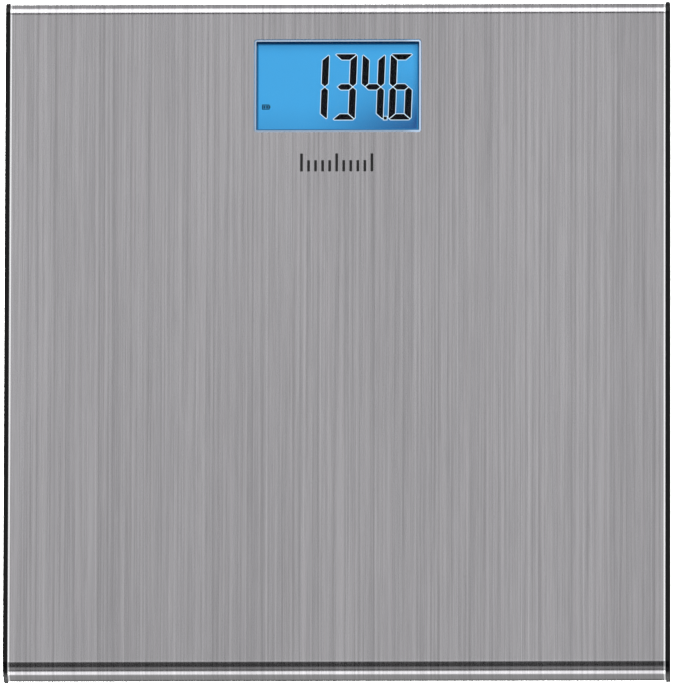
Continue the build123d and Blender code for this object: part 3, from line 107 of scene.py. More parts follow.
class Wire:
    """One output of a finish's node tree, on which Python arithmetic adds Math nodes."""

    def __init__(self, tree, socket=None):
        self.tree = tree
        self.socket = socket

    def node(self, kind, settings=None, sockets=None, output=0):
        """Add a node: its settings first, then the values or links of its sockets."""
        made = self.tree.nodes.new(kind)
        for name, setting in (settings or {}).items():
            if name == "stops":
                ramp = made.color_ramp.elements
                while len(ramp) < len(setting):
                    ramp.new(1.0)
                for stop, (place, colour) in zip(ramp, setting):
                    stop.position = place
                    stop.color = (*colour, 1.0)
            else:
                setattr(made, name, setting)
        for name, value in (sockets or {}).items():
            if isinstance(value, Wire):
                self.tree.links.new(value.socket, made.inputs[name])
            else:
                made.inputs[name].default_value = value
        return Wire(self.tree, made.outputs[output] if len(made.outputs) else None)

    def maths(self, operation, first, second):
        return self.node("ShaderNodeMath", {"operation": operation}, {0: first, 1: second})

    def __add__(self, other):
        return self.maths("ADD", self, other)

    def __sub__(self, other):
        return self.maths("SUBTRACT", self, other)

    def __rsub__(self, other):
        return self.maths("SUBTRACT", other, self)

    def __mul__(self, other):
        return self.maths("MULTIPLY", self, other)

    def __abs__(self):
        return self.node("ShaderNodeMath", {"operation": "ABSOLUTE"}, {0: self})

    __radd__ = __add__
    __rmul__ = __mul__


print("a wire adds nodes by arithmetic")

# %% [markdown]
# A few patterns come back in every finish: the place of a point on the scale, soft random grain,
# a blend of two colours, a smooth step, and a bump. Each is a short function, so that a finish
# further on reads like a description of the surface.

# %% Patterns shared by the finishes

def place_on(wire):
    """Where a point is on the scale at rest, in metres."""
    return wire.node("ShaderNodeTexCoord", output=OBJECT_PLACE)


def split(wire, vector):
    """A vector's X, Y and Z, one wire each."""
    separate = "ShaderNodeSeparateXYZ"
    return [wire.node(separate, None, {"Vector": vector}, output=axis) for axis in range(3)]


def stretched(wire, place, scale):
    """The place with each axis multiplied, so that a pattern repeats more often along it."""
    return wire.node("ShaderNodeMapping", None, {"Vector": place, "Scale": scale})


def grain(wire, place, scale, detail=2.0, roughness=0.5):
    """Soft random values round 0.5."""
    sockets = {"Vector": place, "Scale": scale, "Detail": detail, "Roughness": roughness}
    return wire.node("ShaderNodeTexNoise", None, sockets)


def blend(wire, share, first, second):
    """A colour between two others."""
    settings = {"data_type": "RGBA", "blend_type": "MIX", "clamp_factor": True}
    sockets = {0: share, FIRST_COLOUR: first, SECOND_COLOUR: second}
    return wire.node("ShaderNodeMix", settings, sockets, output=MIXED_COLOUR)


def eased(wire, value, low, high, start=0.0, end=1.0):
    """0 below `low`, 1 above `high` and a smooth rise between, or any other two ends."""
    sockets = {"Value": value, "From Min": low, "From Max": high, "To Min": start, "To Max": end}
    return wire.node("ShaderNodeMapRange", {"interpolation_type": "SMOOTHSTEP"}, sockets)


def raised(wire, height, distance, strength=1.0):
    """A normal that leans as a surface with this height would."""
    sockets = {"Height": height, "Distance": distance, "Strength": strength}
    return wire.node("ShaderNodeBump", None, sockets)


def finish(name, constants, varied):
    """A material: constants go on the shader's own sockets, and varied makes the rest."""
    material = bpy.data.materials.new(name)
    material.use_nodes = True
    material.node_tree.nodes.clear()
    wire = Wire(material.node_tree)
    shader = wire.node("ShaderNodeBsdfPrincipled", None, {**constants, **varied(wire)})
    wire.node("ShaderNodeOutputMaterial", None, {"Surface": shader})
    return material


print("patterns ready")

# %% [markdown]
# The studio decides how the steel reads. Steel is a dull mirror, so each stretch of the sheet shows
# one part of the room. The room is therefore drawn as bands of light round the X axis, by their
# angle from straight up: positive angles lie behind the scale, negative ones in front of it. The
# level plate sees the ceiling box, the back bend a dark gap and then a white box, and the front
# bend a black flag and then a white sweep low in front. Far to the left and right the bands give
# way to one plain grey, which the rounded edges of the end caps mirror. The bands were tuned for
# the camera above, so the steel reads darker from low angles and from behind.

# %% Room light
ROOM_BANDS = [  # degrees from straight up, brightness
    (-180, 0.20), (-172, 0.22), (-164, 0.54), (-148, 0.56), (-136, 1.60), (-103, 1.60),
    (-93, 0.30), (-84, 0.05), (-72, 0.34), (-56, 0.26), (-46, 0.00), (-6, 0.02),
    (-1, 0.72), (15, 0.72), (16, 0.04), (29, 0.04), (35, 1.85), (65, 1.85),
    (80, 0.44), (150, 0.42), (180, 0.26),
]
BRIGHTEST = 2.0
SIDE_GLOW = 0.8
SIDE_STARTS, SIDE_FULL = 0.60, 0.80  # how far sideways a direction points


def room_look(wire):
    """The room's light in each direction, from its angle round the X axis."""
    way = wire.node("ShaderNodeTexCoord")
    x, y, z = split(wire, way)
    angle = wire.maths("ARCTAN2", y, z) * (0.5 / math.pi) + 0.5
    stops = [(a / 360 + 0.5, [glow / BRIGHTEST] * 3) for a, glow in ROOM_BANDS]
    bands = wire.node("ShaderNodeValToRGB", {"stops": stops}, {"Fac": angle})
    far_side = eased(wire, abs(x), SIDE_STARTS, SIDE_FULL)
    walls = blend(wire, far_side, bands, (*[SIDE_GLOW / BRIGHTEST] * 3, 1))
    return wire.node("ShaderNodeBackground", None, {"Color": walls, "Strength": BRIGHTEST})


world = bpy.data.worlds.new("room")
bpy.context.scene.world = world
world.use_nodes = True
world.node_tree.nodes.clear()
room = Wire(world.node_tree)
room.node("ShaderNodeOutputWorld", None, {"Surface": room_look(room)})
print("room:", len(ROOM_BANDS), "bands of light")

# %% [markdown]
# The floor is plain and pale. It stays out of mirror-like reflections, because a white floor would
# wash out the bends and the skirts, and its alpha is zero from below, so that the underside can be
# looked at. One lamp lights the floor alone, through light linking, and never shows itself.

# %% Floor and its lamp
FLOOR_HALF = 30.0
FLOOR_DROP = 0.2 * MM
LAMP_SIZE = 9.0
LAMP_POWER = 2400.0
LAMP_HEIGHT = 3.0

floor_mesh = bpy.data.meshes.new("floor")
floor_corners = [(-1, -1), (1, -1), (1, 1), (-1, 1)]
floor_mesh.from_pydata([(x * FLOOR_HALF, y * FLOOR_HALF, 0) for x, y in floor_corners], [], [range(4)])
floor = bpy.data.objects.new("floor", floor_mesh)
bpy.context.scene.collection.objects.link(floor)
floor.location.z = -FLOOR_DROP
floor.visible_glossy = False


def floor_look(wire):
    place = place_on(wire)
    speckle = grain(wire, place, 900.0)
    clouds = grain(wire, place, 6.0)
    tone = blend(wire, speckle * 0.3 + clouds * 0.7, (0.78, 0.78, 0.78, 1), (0.84, 0.84, 0.84, 1))
    seen_from_below = wire.node("ShaderNodeNewGeometry", output=SEEN_FROM_BEHIND)
    return {
        "Base Color": tone,
        "Normal": raised(wire, speckle, 0.0001, 0.3),
        "Alpha": 1.0 - seen_from_below,
    }


floor_mesh.materials.append(finish("floor", {"Roughness": 0.9}, floor_look))
floor_only = bpy.data.collections.new("floor_only")
floor_only.objects.link(floor)
lamp = bpy.data.lights.new("floor_light", "AREA")
lamp.shape = "RECTANGLE"
lamp.size = lamp.size_y = LAMP_SIZE
lamp.energy = LAMP_POWER
floor_light = bpy.data.objects.new("floor_light", lamp)
bpy.context.scene.collection.objects.link(floor_light)
floor_light.location = (0, 0, LAMP_HEIGHT)
floor_light.light_linking.receiver_collection = floor_only
for ray in ("camera", "glossy", "transmission"):
    setattr(floor_light, "visible_" + ray, False)
print("floor:", 2 * FLOOR_HALF, "m wide, with its own lamp")

# %% [markdown]
# The platform is one steel sheet, bent down at the back and the front, with a small lip turned in
# underneath and a window cut near the back. A sheet has the same thickness everywhere, so the mesh
# is drawn the way the press makes it: one side view of the bends, and one outline across the sheet
# that is carried along it. The side edges are only just rounded, like a deburred cut.

# %% Sizes of the steel sheet
skin_low, skin_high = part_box("platform_skin")
lens_low, lens_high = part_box("window_lens")
SHEET = 0.8 * MM
BEND = 6.0 * MM
LIP_BEND = 2.0 * MM
LIP = 7.0 * MM
EDGE_ROUND = 0.2 * MM
FLANGE_OVERLAP = 3.0 * MM
WINDOW_CORNER = 1.4 * MM
flange_half = Vector((lens_high.x, (lens_high.y - lens_low.y) / 2))
WINDOW_HALF = flange_half - Vector((FLANGE_OVERLAP, FLANGE_OVERLAP))
window_y = (lens_low.y + lens_high.y) / 2
BEND_STEPS = 28
LIP_STEPS = 12
EDGE_STEPS = 5
CORNER_STEPS = 6
print("window opening in mm:", [round(2 * v / MM, 1) for v in WINDOW_HALF])

# %% [markdown]
# Three helpers serve the sheet and the pieces after it. Arcs carry their outward direction along,
# which gives the sheet its thickness. Rounded boxes start and pass at the middle of their lower and
# upper sides, where the flat of the sheet is cut in two. The third makes a mesh a named piece.

# %% Outlines and pieces
def arc(centre, radius, start, end, steps):
    """Points and outward directions along an arc; angles in degrees from straight up."""
    row = []
    for i in range(steps + 1):
        a = math.radians(start + (end - start) * i / steps)
        out = Vector((math.sin(a), math.cos(a)))
        row.append((Vector(centre) + out * radius, out))
    return row


def rounded_box(half_x, half_y, radius, steps, middle=(0.0, 0.0)):
    """A rounded rectangle's points, anticlockwise from the middle of its lower side."""
    points = [(0.0, -half_y)]
    for quarter, (sx, sy) in enumerate(((1, -1), (1, 1), (-1, 1), (-1, -1))):
        for i in range(steps + 1):
            a = math.radians(90 * quarter - 90 + 90 * i / steps)
            corner = (sx * (half_x - radius), sy * (half_y - radius))
            points.append((corner[0] + radius * math.cos(a), corner[1] + radius * math.sin(a)))
        if quarter == 1:
            points.append((0.0, half_y))
    return [(x + middle[0], y + middle[1]) for x, y in points]


def new_piece(name, mesh_edit, materials, body="housing"):
    """A named mesh piece that rides on a body and takes its finish from a slot."""
    mesh = bpy.data.meshes.new(name)
    mesh_edit.to_mesh(mesh)
    mesh_edit.free()
    piece = bpy.data.objects.new(name, mesh)
    bpy.context.scene.collection.objects.link(piece)
    for material in materials:
        mesh.materials.append(material)
    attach(piece, body)
    return piece


print("helpers for outlines ready")

# %% [markdown]
# The path runs along the outer face in side view, from one lip over the top to the other lip. The
# loop runs once round the sheet's thickness, from left to right outside and back inside. A copy of
# the loop at every point of the path, joined to the next, makes the bent sheet. A strip is left
# open in the flat row.

# %% Path and loop of the sheet
half_path = arc((skin_high.y - BEND, skin_high.z - BEND), BEND, 0, 90, BEND_STEPS)
half_path += arc((skin_high.y - LIP_BEND, skin_low.z + LIP_BEND), LIP_BEND, 90, 180, LIP_STEPS)
half_path += [(Vector((skin_high.y - LIP, skin_low.z)), Vector((0, -1)))]
path = [(Vector((-p.x, p.y)), Vector((-n.x, n.y))) for p, n in reversed(half_path)] + half_path
flat_row = len(half_path) - 1

side_arc = [math.radians(90 - 90 * i / EDGE_STEPS) for i in range(EDGE_STEPS + 1)]
outer = [(EDGE_ROUND * math.sin(a), EDGE_ROUND * (1 - math.cos(a))) for a in side_arc]
left = [(skin_low.x + EDGE_ROUND - dx, h) for dx, h in outer]
right = [(-x, h) for x, h in reversed(left)]
loop = left + [(0.0, 0.0)] + right + [(skin_high.x, SHEET), (0.0, SHEET), (skin_low.x, SHEET)]

steel = bmesh.new()
rows = []
for point, out in path:
    places = [(x, *(point - out * h)) for x, h in loop]
    rows.append([steel.verts.new(p) for p in places])
count = len(loop)
open_columns = (len(left) - 1, len(left), count - 3, count - 2)
for r in range(len(rows) - 1):
    for c in range(count):
        if r == flat_row and c in open_columns:
            continue
        d = (c + 1) % count
        steel.faces.new((rows[r][c], rows[r][d], rows[r + 1][d], rows[r + 1][c]))
for end in (rows[0], rows[-1]):
    steel.faces.new(end)
print("bent sheet:", len(rows), "loops of", count, "points")

# %% [markdown]
# The open strip is closed round the window by four large flat faces, two above and two below. Each
# is shaped like a letter C: it follows the sheet's rim on one side and half of the window on the
# other. A short wall joins the window's upper and lower outlines.

# %% Window in the sheet
hole = rounded_box(*WINDOW_HALF, WINDOW_CORNER, CORNER_STEPS, (0.0, window_y))
hole_top = [steel.verts.new((x, y, skin_high.z)) for x, y in hole]
hole_low = [steel.verts.new((x, y, skin_high.z - SHEET)) for x, y in hole]
half = len(hole) // 2
for i in range(len(hole)):
    j = (i + 1) % len(hole)
    steel.faces.new((hole_top[i], hole_top[j], hole_low[j], hole_low[i]))
front, rear = rows[flat_row], rows[flat_row + 1]
l_out, mid, r_out = len(left) - 1, len(left), len(left) + 1
r_in, mid_in, l_in = count - 3, count - 2, count - 1
upper_faces = (hole_top, mid, r_out, l_out)
lower_faces = (hole_low, mid_in, r_in, l_in)
for ring, middle_c, right_c, left_c in (upper_faces, lower_faces):
    right_side = ring[: half + 1]
    left_side = ring[half:] + ring[:1]
    right_rim = [front[right_c], rear[right_c], rear[middle_c]]
    left_rim = [rear[middle_c], rear[left_c]]
    steel.faces.new([*right_rim, *reversed(right_side), front[middle_c]])
    steel.faces.new([front[left_c], front[middle_c], *reversed(left_side), *left_rim])
bmesh.ops.recalc_face_normals(steel, faces=steel.faces)
for face in steel.faces:
    face.smooth = True
print("steel sheet:", len(steel.faces), "faces before its edges are eased")

# %% [markdown]
# Brushed stainless steel is drawn under abrasive belts, so it is covered with scratches that all
# run the same way. Three things make it read as brushed: streaks in tone of several lengths, a
# roughness that varies with them, and a shine that spreads across the lay but not along it. The
# last is the shader's anisotropy. Its direction follows the mesh's texture space, which is moved
# far away along the lay so that the same direction holds all over the plate. Three things in this
# finish are painted, not found by the light. The sheet gets darker towards the feet and at the
# foot of its skirts, as if it mirrored a darker part of a real room. The thin line along each side
# glows a little, because a bare edge so close to the black cap would only mirror black.

# %% Brushed steel finish
STEEL_TONE = (0.60, 0.588, 0.612, 1)
# painted glint: the band along each side edge is lighter in base colour and glows
GLINT_TONE = (0.95, 0.95, 0.96, 1)
GLINT_GLOW = (0.30, 0.30, 0.305, 1)
GLINT_STARTS, GLINT_FULL = 1.0 * MM, 0.7 * MM  # in from the side edges
# where the painted shade sits: at the foot of the skirts and towards the feet
SKIRT_DARK, SKIRT_CLEAR = 3.0 * MM, 7.5 * MM  # up from the lips
FEET_END, DISPLAY_END = -0.19, 0.15  # along Y
BRUSH_DEPTH = 0.02 * MM
TEXTURE_SPACE_Y = -60.0


def brushed(wire, place, across, along):
    """Streaks that are short across X and long along Y."""
    return grain(wire, stretched(wire, place, (across, along, along)), 1.0, 1.0)


def steel_look(wire):
    place = place_on(wire)
    x, y, z = split(wire, place)
    hair = brushed(wire, place, 1900.0, 60.0)
    fine = brushed(wire, place, 1500.0, 14.0)
    medium = brushed(wire, place, 900.0, 6.0)
    long = brushed(wire, place, 620.0, 0.8)
    wide = brushed(wire, place, 150.0, 0.7)
    zones = brushed(wire, place, 16.0, 0.8)
    streaks = hair * 0.12 + fine * 0.24 + medium * 0.26 + long * 0.38
    drift = eased(wire, zones, 0.25, 0.75, 0.955, 1.045) * eased(wire, wide, 0.25, 0.75, 0.96, 1.04)
    tone = eased(wire, streaks, 0.30, 0.70, 0.77, 1.23) * drift
    # painted glint along each side edge of the sheet, lighter and glowing
    edge_glint = eased(wire, abs(x), skin_high.x - GLINT_STARTS, skin_high.x - GLINT_FULL)
    # painted shade: darker at the foot of the skirts and towards the feet, as if mirroring a darker
    # room
    shade = eased(wire, z, skin_low.z + SKIRT_DARK, skin_low.z + SKIRT_CLEAR, 0.25, 1.0)
    shade_toward_feet = eased(wire, y, FEET_END, DISPLAY_END, 0.90, 1.045)
    scaled = {0: STEEL_TONE[:3], "Scale": tone * shade * shade_toward_feet}
    plain = wire.node("ShaderNodeVectorMath", {"operation": "SCALE"}, scaled)
    return {
        "Base Color": blend(wire, edge_glint, plain, GLINT_TONE),
        "Emission Color": blend(wire, edge_glint, (0, 0, 0, 1), GLINT_GLOW),
        "Roughness": 0.23 + 0.08 * medium - 0.06 * edge_glint,
        "Normal": raised(wire, streaks, BRUSH_DEPTH, 0.35),
    }


steel_constants = {"Metallic": 1.0, "Anisotropic": 1.0, "Emission Strength": 1.0}
steel_finish = finish("brushed_steel", steel_constants, steel_look)
print("brushed steel finish ready")

# %% [markdown]
# The sheet becomes a piece, rides on the housing and takes the place of the CAD sheet. Two modifiers
# finish it: a bevel breaks the sharp edges that are left, such as the window's, and weighted normals
# keep the large faces flat next to their rounded edges.

# %% Steel platform
EASED_EDGE = 0.1 * MM
SHARP_FROM = math.radians(40)
platform = new_piece("steel_platform", steel, [steel_finish])
platform.data.use_auto_texspace = False
platform.data.texspace_location = (0.0, TEXTURE_SPACE_Y, 0.0)
platform.data.texspace_size = (1.0, 1.0, 1.0)
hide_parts("platform_skin")
ease = platform.modifiers.new("eased_edges", "BEVEL")
ease.width = EASED_EDGE
ease.segments = 2
ease.limit_method = "ANGLE"
ease.angle_limit = SHARP_FROM
even = platform.modifiers.new("even_shading", "WEIGHTED_NORMAL")
even.keep_sharp = True
print("steel platform in place")

# %% [markdown]
# The window is a clear acrylic moulding that stands in the cut-out from below. Its top edge is
# moulded with a frosted bevel. The pale line it draws round the view is painted light: the bevel's
# finish glows a pale blue, brighter towards the right, in place of the display's light caught in
# the frosting. The moulding is a stack of rounded rectangles joined ring to ring, and the bevel's
# faces take a second finish. Acrylic bends light by an index of 1.49. The clear part is set to 1.12
# instead, because a full reflection of the bright room would turn the black digits grey.

# %% Window lens
FLANGE_TOP = 33.1 * MM
FLANGE_CORNER = 1.0 * MM
BOSS_CORNER = 1.2 * MM
VIEW_CORNER = 0.5 * MM
CLEAR_INDEX = 1.12
FROSTED_INDEX = 1.49
RIGHT_GLOW_STARTS, RIGHT_GLOW_FULL = 30.0 * MM, 36.5 * MM  # along X
BOSS_GAP = 0.2 * MM
BEVEL_WIDTH = 0.80 * MM
BEVEL_DROP = 0.35 * MM
boss_half = WINDOW_HALF - Vector((BOSS_GAP, BOSS_GAP))


def stack(rings, frosted, middle):
    """A closed solid from rounded rectangles (half x, half y, corner, z), bottom to top."""
    solid = bmesh.new()
    levels = []
    for half_x, half_y, radius, z in rings:
        points = rounded_box(half_x, half_y, radius, CORNER_STEPS, middle)
        levels.append([solid.verts.new((x, y, z)) for x, y in points])
    for k, (low, high) in enumerate(zip(levels, levels[1:])):
        for i in range(len(low)):
            j = (i + 1) % len(low)
            face = solid.faces.new((low[i], low[j], high[j], high[i]))
            face.material_index = 1 if k in frosted else 0
    solid.faces.new(list(reversed(levels[0])))
    solid.faces.new(levels[-1])
    return solid


boss = (*boss_half, BOSS_CORNER)
inner_boss = (boss_half.x - BEVEL_WIDTH, boss_half.y - BEVEL_WIDTH, VIEW_CORNER)
rings = [
    (*flange_half, FLANGE_CORNER, lens_low.z),
    (*flange_half, FLANGE_CORNER, FLANGE_TOP),
    (*boss, FLANGE_TOP),
    (*boss, lens_high.z - BEVEL_DROP),
    (*inner_boss, lens_high.z),
]
BEVEL_BANDS = (2, 3)  # the boss's wall and the bevel, counted from the bottom


def clear_look(wire):
    place = place_on(wire)
    smear = grain(wire, stretched(wire, place, (60.0, 110.0, 60.0)), 1.0, 3.0)
    tint = blend(wire, smear, (0.98, 0.99, 1, 1), (1, 1, 1, 1))
    return {"Roughness": 0.02 * smear, "Base Color": tint}


def frosted_glow_look(wire):
    place = place_on(wire)
    sparkle = grain(wire, place, 3500.0, 3.0)
    x, _, _ = split(wire, place)
    # painted glow: the bevel's emission stands in for the display's light, brighter towards the right
    glow = eased(wire, x, RIGHT_GLOW_STARTS, RIGHT_GLOW_FULL)
    tone = blend(wire, glow, (0.13, 0.20, 0.29, 1), (0.30, 0.42, 0.58, 1))
    return {
        "Base Color": blend(wire, sparkle, (0.38, 0.42, 0.47, 1), (0.50, 0.54, 0.60, 1)),
        "Emission Color": tone,
        "Roughness": 0.25 + 0.2 * sparkle,
        "Normal": raised(wire, sparkle, 0.00001, 0.4),
    }


clear_constants = {"Transmission Weight": 1.0, "IOR": CLEAR_INDEX}
clear = finish("clear_acrylic", clear_constants, clear_look)
frosted = finish("frosted_bevel_glow", {"Emission Strength": 1.0, "IOR": FROSTED_INDEX}, frosted_glow_look)
moulding = stack(rings, BEVEL_BANDS, (0.0, window_y))
lens = new_piece("display_window", moulding, [clear, frosted])
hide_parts("window_lens")
print("window lens:", len(lens.data.polygons), "faces")

# %% [markdown]
# A backlit liquid crystal display glows evenly where the lamps are near and fades towards the far
# corner. The front glass takes that glow as emission, with a colour that drifts over the view, so
# it looks lit whatever the lamps inside do. The black foam gasket round it has a little of the same
# blue painted on as glow where it is nearest to the view, with painted shade along its top.

# %% Display glow
_, glass_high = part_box("lcd_glass_front")
gasket_low, gasket_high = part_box("display_gasket")
GLOW = (0.045, 0.345, 0.705, 1)
FADED = (0.012, 0.080, 0.245, 1)
GASKET_WIDTH = 2.0 * MM
view_left, view_low = gasket_low.x + GASKET_WIDTH, gasket_low.y + GASKET_WIDTH
view_width = gasket_high.x - gasket_low.x - 2 * GASKET_WIDTH
view_depth = gasket_high.y - gasket_low.y - 2 * GASKET_WIDTH


def display_look(wire):
    place = place_on(wire)
    x, y, _ = split(wire, place)
    u = (x - view_left) * (1 / view_width)
    v = (y - view_low) * (1 / view_depth)
    right = eased(wire, u, 0.25, 1.10)
    low = 1.0 - eased(wire, v, -0.15, 0.85)
    corner = right * low
    foot = (1.0 - eased(wire, v, -0.1, 0.35)) * 0.24
    # painted shade: darker along the top and right edges of the view, as if under the frame's wall
    frame_shade = eased(wire, v, 0.90, 1.0) * 0.22 + eased(wire, u, 0.965, 1.0) * 0.25
    cloud = grain(wire, place, 120.0, 3.0) * 0.05
    dots = grain(wire, place, 5200.0, 1.0) * 0.04
    fade = corner * 0.86 + foot + frame_shade + cloud + dots - 0.045
    sunk = wire.node("ShaderNodeClamp", None, {"Value": fade})
    return {
        "Base Color": blend(wire, sunk, (0.02, 0.08, 0.14, 1), (0.01, 0.04, 0.08, 1)),
        "Emission Color": blend(wire, sunk, GLOW, FADED),
        "Roughness": 0.35 + 0.1 * cloud,
    }


def gasket_look(wire):
    """Black foam with a painted glow of the display's blue nearest to the view, shaded at the top."""
    place = place_on(wire)
    x, y, _ = split(wire, place)
    away_x = abs(x) - view_width / 2
    away_y = abs(y - window_y) - view_depth / 2
    away = wire.maths("MAXIMUM", away_x, away_y)
    # painted glow of the display's blue on the foam, fading away from the view, and painted shade at
    # the top
    far_edge = eased(wire, away, -0.1 * MM, 0.9 * MM)
    top = eased(wire, y, window_y + 0.46 * view_depth, window_y + 0.52 * view_depth)
    shaded = wire.node("ShaderNodeClamp", None, {"Value": far_edge * 0.75 + top * 0.45})
    pores = grain(wire, place, 3000.0, 4.0, 0.7)
    return {
        "Base Color": blend(wire, pores, (0.006, 0.008, 0.014, 1), (0.012, 0.014, 0.020, 1)),
        "Emission Color": blend(wire, shaded, (0.035, 0.240, 0.520, 1), (0.002, 0.022, 0.070, 1)),
        "Roughness": 0.8 + 0.1 * pores,
    }


lit = {"Emission Strength": 1.0, "Specular IOR Level": 0.2}
gasket_finish = finish("gasket_foam", lit, gasket_look)
display_finish = finish("lit_display", lit, display_look)
print("lit view in mm:", round(view_width / MM, 1), "by", round(view_depth / MM, 1))

# %% [markdown]
# The reading is seven-segment digits: every digit is the same seven bars, mitred where they meet.
# They follow the proportions of a tall, narrow display font: each digit is nearly three times as
# high as it is wide, and leans very slightly. The outer corners of the bars are clipped.

# %% Bars of a digit
DIGIT_HEIGHT = 31.8 * MM
DIGIT_WIDTH = 10.9 * MM
DIGIT_PITCH = 13.05 * MM
BAR_ACROSS = 3.5 * MM
BAR_DEEP = 3.1 * MM
BAR_GAP = 0.20 * MM
BORDER = 0.12 * MM
CORNER_CUT = 1.1 * MM
LEAN = math.tan(math.radians(2.0))
DIGITS_RIGHT = 34.8 * MM
DIGITS_MIDDLE = window_y + 0.15 * MM
LIT_BARS = {"1": "bc", "3": "abcdg", "4": "bcfg", "6": "acdefg"}


def mirrored(bar, x_sign, y_sign):
    """A bar's outline, mirrored from side to side, from top to bottom, or both."""
    return [(x_sign * x, y_sign * y) for x, y in bar]


def bar_outlines():
    """The seven bars of a digit, mitred to each other, round the digit's middle."""
    w, h, t, s, c = DIGIT_WIDTH / 2, DIGIT_HEIGHT / 2, BAR_ACROSS, BAR_DEEP, CORNER_CUT
    mitre = (w - c / 2, h - c / 2)
    top = [(c / 2 - w, h - c / 2), (c - w, h), (w - c, h), mitre, (w - t, h - s), (t - w, h - s)]
    upper = [mitre, (w, h - c), (w, s / 2), (w - t / 2, 0), (w - t, s / 2), (w - t, h - s)]
    tip, inner = w - t / 2, w - t
    middle = [(-tip, 0), (-inner, s / 2), (inner, s / 2), (tip, 0), (inner, -s / 2), (-inner, -s / 2)]
    lower = mirrored(upper, 1, -1)
    return {
        "a": top, "b": upper, "c": lower, "d": mirrored(top, 1, -1),
        "e": mirrored(lower, -1, 1), "f": mirrored(upper, -1, 1), "g": middle,
    }


outlines = bar_outlines()
print("bars of a digit:", len(outlines))

# %% [markdown]
# A bar that is on is nearly black. Light leaks along its edge, so every bar also has a thin pale
# border of painted glow, drawn as a slightly larger plate below it. That needs one helper that moves
# an outline in or out, and one that makes a flat plate of it. Plates of one digit meet at their
# mitres, so the tops of neighbouring borders are staggered by a few thousandths of a millimetre:
# two faces in exactly the same plane would fight over which one shows.

# %% Plates
GLASS_GAP = 0.02 * MM
BAR_THICK = 0.03 * MM
STAGGER = 0.002 * MM
STAGGER_STEPS = 5


def grown(points, amount):
    """A convex outline with every side moved out by an amount, or in where it is negative."""
    pairs = list(zip(points, points[1:] + points[:1]))
    twice_area = sum(a[0] * b[1] - a[1] * b[0] for a, b in pairs)
    turn_sign = 1 if twice_area > 0 else -1
    sides = []
    for a, b in pairs:
        run = (Vector(b) - Vector(a)).normalized()
        out = Vector((run.y, -run.x)) * turn_sign
        sides.append((Vector(a) + out * amount, run))
    moved = []
    for (p, d), (q, e) in zip(sides[-1:] + sides[:-1], sides):
        cross = d.x * e.y - d.y * e.x
        along = ((q - p).x * e.y - (q - p).y * e.x) / cross
        moved.append(tuple(p + d * along))
    return moved


def add_plate(solid, outline, low, high):
    """A flat plate of any outline between two heights."""
    bottom = [solid.verts.new((x, y, low)) for x, y in outline]
    top = [solid.verts.new((x, y, high)) for x, y in outline]
    solid.faces.new(bottom)
    solid.faces.new(top)
    for i in range(len(outline)):
        j = (i + 1) % len(outline)
        solid.faces.new((bottom[i], bottom[j], top[j], top[i]))


def placed(outline, middle_x):
    """A digit's outline, leaning, at its place on the glass."""
    return [(x + middle_x + y * LEAN, y + DIGITS_MIDDLE) for x, y in outline]


border_low = glass_high.z + GLASS_GAP
bar_low = border_low + BAR_THICK + GLASS_GAP / 2
print("plates stand", round((bar_low - glass_high.z) / MM, 3), "mm over the glass")

# %% [markdown]
# The digits are set from the right, as a scale does it, with a square point before the last one.

# %% Reading
READING = [("1", 3), ("3", 2), ("4", 1), ("6", 0)]  # each digit and its places from the right
DOT = 1.9 * MM
DOT_SHIFT = 0.2 * MM
dot_x = DIGITS_RIGHT - DIGIT_WIDTH - (DIGIT_PITCH - DIGIT_WIDTH) / 2 - DOT_SHIFT
dot_box = [(-DOT / 2, -DOT / 2), (DOT / 2, -DOT / 2), (DOT / 2, DOT / 2), (-DOT / 2, DOT / 2)]
dot_y = -DIGIT_HEIGHT / 2 + DOT / 2
bars, borders = bmesh.new(), bmesh.new()
shapes = []
for digit, places_left in READING:
    middle_x = DIGITS_RIGHT - DIGIT_WIDTH / 2 - places_left * DIGIT_PITCH
    for bar in LIT_BARS[digit]:
        shapes.append(placed(outlines[bar], middle_x))
shapes.append(placed([(x, y + dot_y) for x, y in dot_box], dot_x))
for k, shape in enumerate(shapes):
    lift = (k % STAGGER_STEPS) * STAGGER
    add_plate(borders, grown(shape, BORDER), border_low, border_low + BAR_THICK - lift)
    add_plate(bars, grown(shape, -BAR_GAP), bar_low, bar_low + BAR_THICK)
for solid in (bars, borders):
    bmesh.ops.recalc_face_normals(solid, faces=solid.faces)


def bar_look(wire):
    cloud = grain(wire, place_on(wire), 700.0, 2.0)
    return {
        "Base Color": blend(wire, cloud, (0.002, 0.003, 0.007, 1), (0.005, 0.006, 0.012, 1)),
        "Roughness": 0.4 + 0.1 * cloud,
    }


def border_glow_look(wire):
    place = place_on(wire)
    cloud = grain(wire, place, 500.0, 2.0)
    return {
        "Base Color": (0.1, 0.12, 0.14, 1),
        # painted glow round each lit bar
        "Emission Color": blend(wire, cloud, (0.52, 0.76, 0.95, 1), (0.80, 0.93, 1.0, 1)),
    }


dark_bar = finish("dark_segment", {"Specular IOR Level": 0.1}, bar_look)
glowing_border = finish("segment_border_glow", {"Emission Strength": 0.95, "Roughness": 0.5}, border_glow_look)
new_piece("display_digits", bars, [dark_bar])
new_piece("digit_borders", borders, [glowing_border])
print("reading:", len(shapes), "lit shapes")

# %% [markdown]
# A tiny battery sign stands at the left of the view, in place of a unit legend. It is a frame, a
# knob and two filled cells, all of them flat plates like the bars.

# %% Battery sign
SIGN_MIDDLE = Vector((-33.6 * MM, window_y - 9.4 * MM))
SIGN_HALF = Vector((1.75, 1.2)) * MM
SIGN_LINE = 0.42 * MM


def box_outline(low_x, low_y, high_x, high_y):
    return [(low_x, low_y), (high_x, low_y), (high_x, high_y), (low_x, high_y)]


